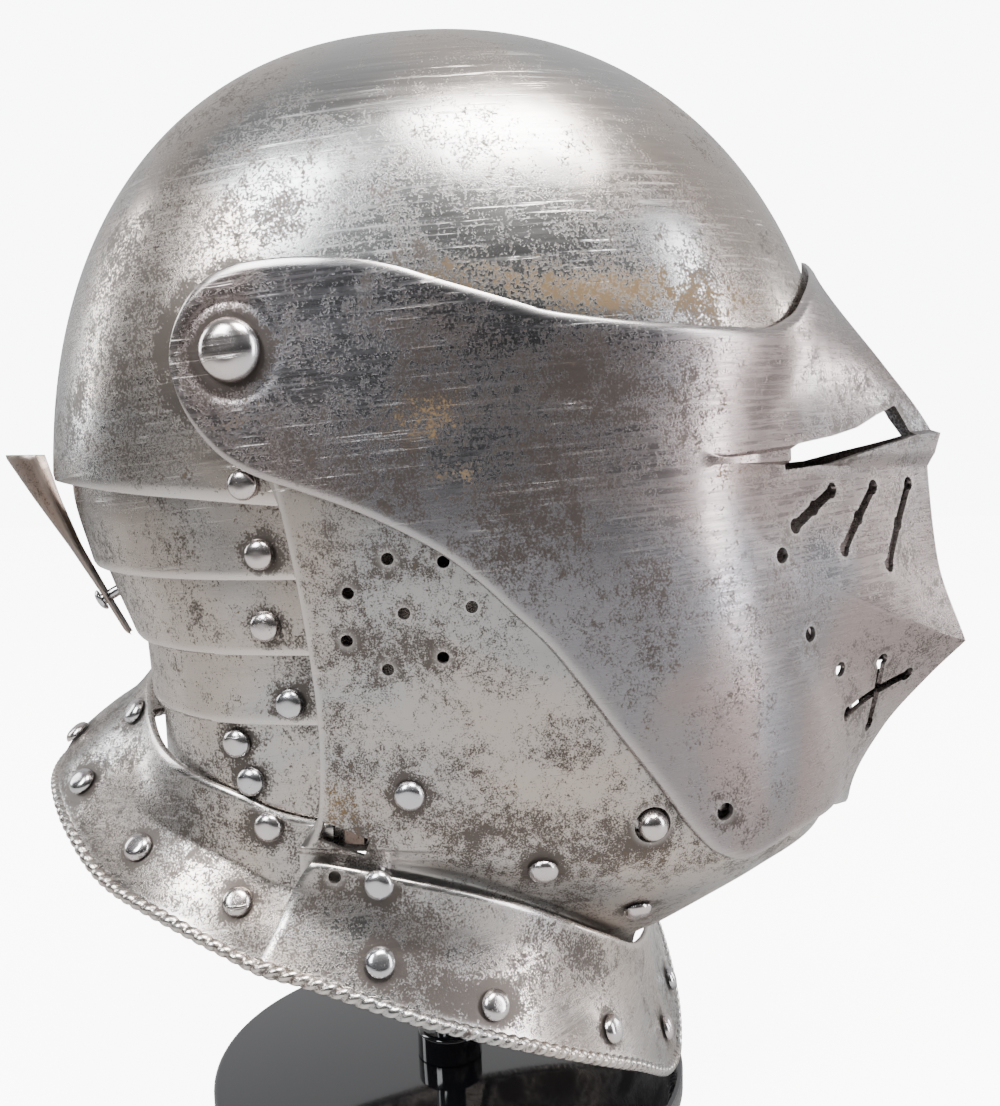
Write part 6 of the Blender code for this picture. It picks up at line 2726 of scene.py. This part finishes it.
@dataclass
class Studio:
    """A white sweep, soft boxes, a pale room and the camera."""

    middle: tuple[float, float, float] = (0.0, 0.0, 0.17)
    boxes: tuple[SoftBox, ...] = (
        SoftBox("overhead box", -139.0, 66.0, 1.5, 0.75, 0.55, 62.0, (1.0, 0.98, 0.96)),
        SoftBox("left box", 151.0, 40.0, 1.4, 0.42, 0.75, 30.0, (0.93, 0.97, 1.0)),
        SoftBox("right strip", -103.0, 14.0, 1.3, 0.20, 1.15, 17.0, (0.96, 0.96, 1.0)),
        SoftBox("front strip", -60.0, 6.0, 1.5, 0.26, 0.9, 11.0),
        SoftBox("rear strip", 88.0, 20.0, 1.4, 0.35, 0.8, 9.0, (0.95, 0.98, 1.0)),
    )
    camera_place: tuple[float, float, float] = (-0.3528, -0.0770, 0.2050)
    yaw: float = math.radians(10.27)
    pitch: float = math.radians(5.0)
    roll: float = math.radians(-1.31)
    focal_share: float = 1.14
    sensor: float = 36.0
    floor_size: float = 6.0

    def build(self) -> None:
        """Makes the floor, the lights, the room and the camera."""
        self.floor()
        for box in self.boxes:
            self.light(box)
        self.room()
        self.camera()

    def floor(self) -> None:
        """Makes a plain pale floor under the stand."""
        half = self.floor_size / 2 / MM
        corners = np.array(
            [(-half, -half, 0.0), (half, -half, 0.0), (half, half, 0.0), (-half, half, 0.0)]
        )
        obj = mesh_object("floor", corners, [[0, 1, 2, 3]])
        made = bpy.data.materials.new("white floor")
        made.use_nodes = True
        sketch = Sketch(made.node_tree)
        shader = made.node_tree.nodes["Principled BSDF"]
        shader.inputs["Base Color"].default_value = (0.36, 0.355, 0.35, 1.0)
        shader.inputs["Roughness"].default_value = 0.6
        seen = sketch.add("ShaderNodeLightPath").outputs["Is Camera Ray"]
        glow = sketch.slide(seen, 0.0, 9.0)
        shader.inputs["Emission Color"].default_value = (1.0, 1.0, 1.0, 1.0)
        made.node_tree.links.new(glow, shader.inputs["Emission Strength"])
        obj.data.materials.append(made)
        obj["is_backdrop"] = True

    def light(self, box: SoftBox) -> None:
        """Makes one soft box.

        Args:
            box: Its place, size and power.
        """
        data = bpy.data.lights.new(box.name, "AREA")
        data.shape = "RECTANGLE"
        data.size = box.width
        data.size_y = box.tall
        data.energy = box.power
        data.color = box.colour
        azimuth = math.radians(box.azimuth)
        elevation = math.radians(box.elevation)
        away = Vector(
            (
                math.cos(azimuth) * math.cos(elevation),
                math.sin(azimuth) * math.cos(elevation),
                math.sin(elevation),
            )
        )
        obj = bpy.data.objects.new(box.name, data)
        obj.location = Vector(self.middle) + away * box.distance
        obj.rotation_euler = away.to_track_quat("Z", "Y").to_euler()
        bpy.context.scene.collection.objects.link(obj)

    def room(self) -> None:
        """White behind the helmet and to the camera, a dimmer room on the camera's side."""
        world = bpy.data.worlds.new("studio room")
        world.use_nodes = True
        bpy.context.scene.world = world
        sketch = Sketch(world.node_tree)
        back = world.node_tree.nodes["Background"]
        way = sketch.add("ShaderNodeTexCoord").outputs["Generated"]
        parts = sketch.add("ShaderNodeSeparateXYZ", {0: way})
        behind = sketch.ramp(parts.outputs[0], -0.25, 0.55)
        above = sketch.ramp(parts.outputs[2], -0.1, 0.9)
        wall = sketch.slide(behind, 0.03, 0.75)
        wall = sketch.sum(wall, sketch.math("MULTIPLY", above, 0.16))
        seen = sketch.add("ShaderNodeLightPath").outputs["Is Camera Ray"]
        strength = sketch.slide(seen, wall, 9.0)
        back.inputs["Color"].default_value = (0.98, 0.985, 1.0, 1.0)
        world.node_tree.links.new(strength, back.inputs["Strength"])

    def camera(self) -> None:
        """Places the camera level with the visor, to the helmet's right."""
        ahead = np.array(
            [
                math.cos(self.pitch) * math.cos(self.yaw),
                math.cos(self.pitch) * math.sin(self.yaw),
                -math.sin(self.pitch),
            ]
        )
        level = np.array([math.sin(self.yaw), -math.cos(self.yaw), 0.0])
        upward = np.cross(level, ahead)
        right = level * math.cos(self.roll) + upward * math.sin(self.roll)
        up = upward * math.cos(self.roll) - level * math.sin(self.roll)
        data = bpy.data.cameras.new("camera")
        data.sensor_fit = "HORIZONTAL"
        data.sensor_width = self.sensor
        data.lens = self.sensor * self.focal_share
        data.clip_start = 0.01
        obj = bpy.data.objects.new("camera", data)
        turn = Matrix((right, up, -ahead)).transposed()
        obj.matrix_world = Matrix.Translation(self.camera_place) @ turn.to_4x4()
        bpy.context.scene.collection.objects.link(obj)
        bpy.context.scene.camera = obj


def clear_scene() -> None:
    """Removes the startup scene's objects."""
    for obj in list(bpy.data.objects):
        bpy.data.objects.remove(obj, do_unlink=True)


def corners_of(bounds: tuple) -> list:
    """The two corners of a box as plain lists.

    Args:
        bounds: The lowest and the highest corner.

    Returns:
        The lists.
    """
    return [[float(value) for value in corner] for corner in bounds]


def main() -> list:
    """Builds the helmet and its stand in order, then the studio.

    Returns:
        The frame's box.
    """
    clear_scene()
    FRAME.update(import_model())
    frame_box = corners_of(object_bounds())
    tarnish_and_highlight = tarnish_group()
    scratch = scratch_group()
    rivet_steel = RIVET_STEEL.make(tarnish_and_highlight, scratch)
    old_iron = OLD_IRON.make(tarnish_and_highlight, scratch)
    lame_steel = LAME_STEEL.make(tarnish_and_highlight, scratch)
    bevor_steel = BEVOR_STEEL.make(tarnish_and_highlight, scratch)
    gorget_steel = GORGET_STEEL.make(tarnish_and_highlight, scratch)
    bevor = Bevor()
    rivetry = Rivetry(bevor)
    rivetry.place_all()
    Bowl().build(SKULL_STEEL.make(tarnish_and_highlight, scratch))
    for plate in NAPE:
        plate.build(lame_steel, rivetry.on_plate.get(plate.name, []))
    bevor.build(bevor_steel)
    Visor().build(SHADED_VISOR_STEEL.make(tarnish_and_highlight, scratch))
    FRONT_GORGET.build(gorget_steel, rivetry.on_plate["front_gorget"], (77.5, 0.10, 1.6))
    REAR_GORGET.build(gorget_steel, rivetry.on_plate["rear_gorget"], None)
    for group in rivetry.groups.values():
        group.build(rivet_steel)
    PlumeHolder().build(old_iron, rivet_steel)
    Catch().build(bevor, rivet_steel, bevor_steel)
    finish_node(FRAME["nodes"]["lock_staple"], old_iron)
    Stand().build(GlossFinish().make())
    Studio().build()
    return frame_box


if __name__ == "__main__":
    logging.basicConfig(level=logging.INFO, format="%(message)s")
    box_before = main()
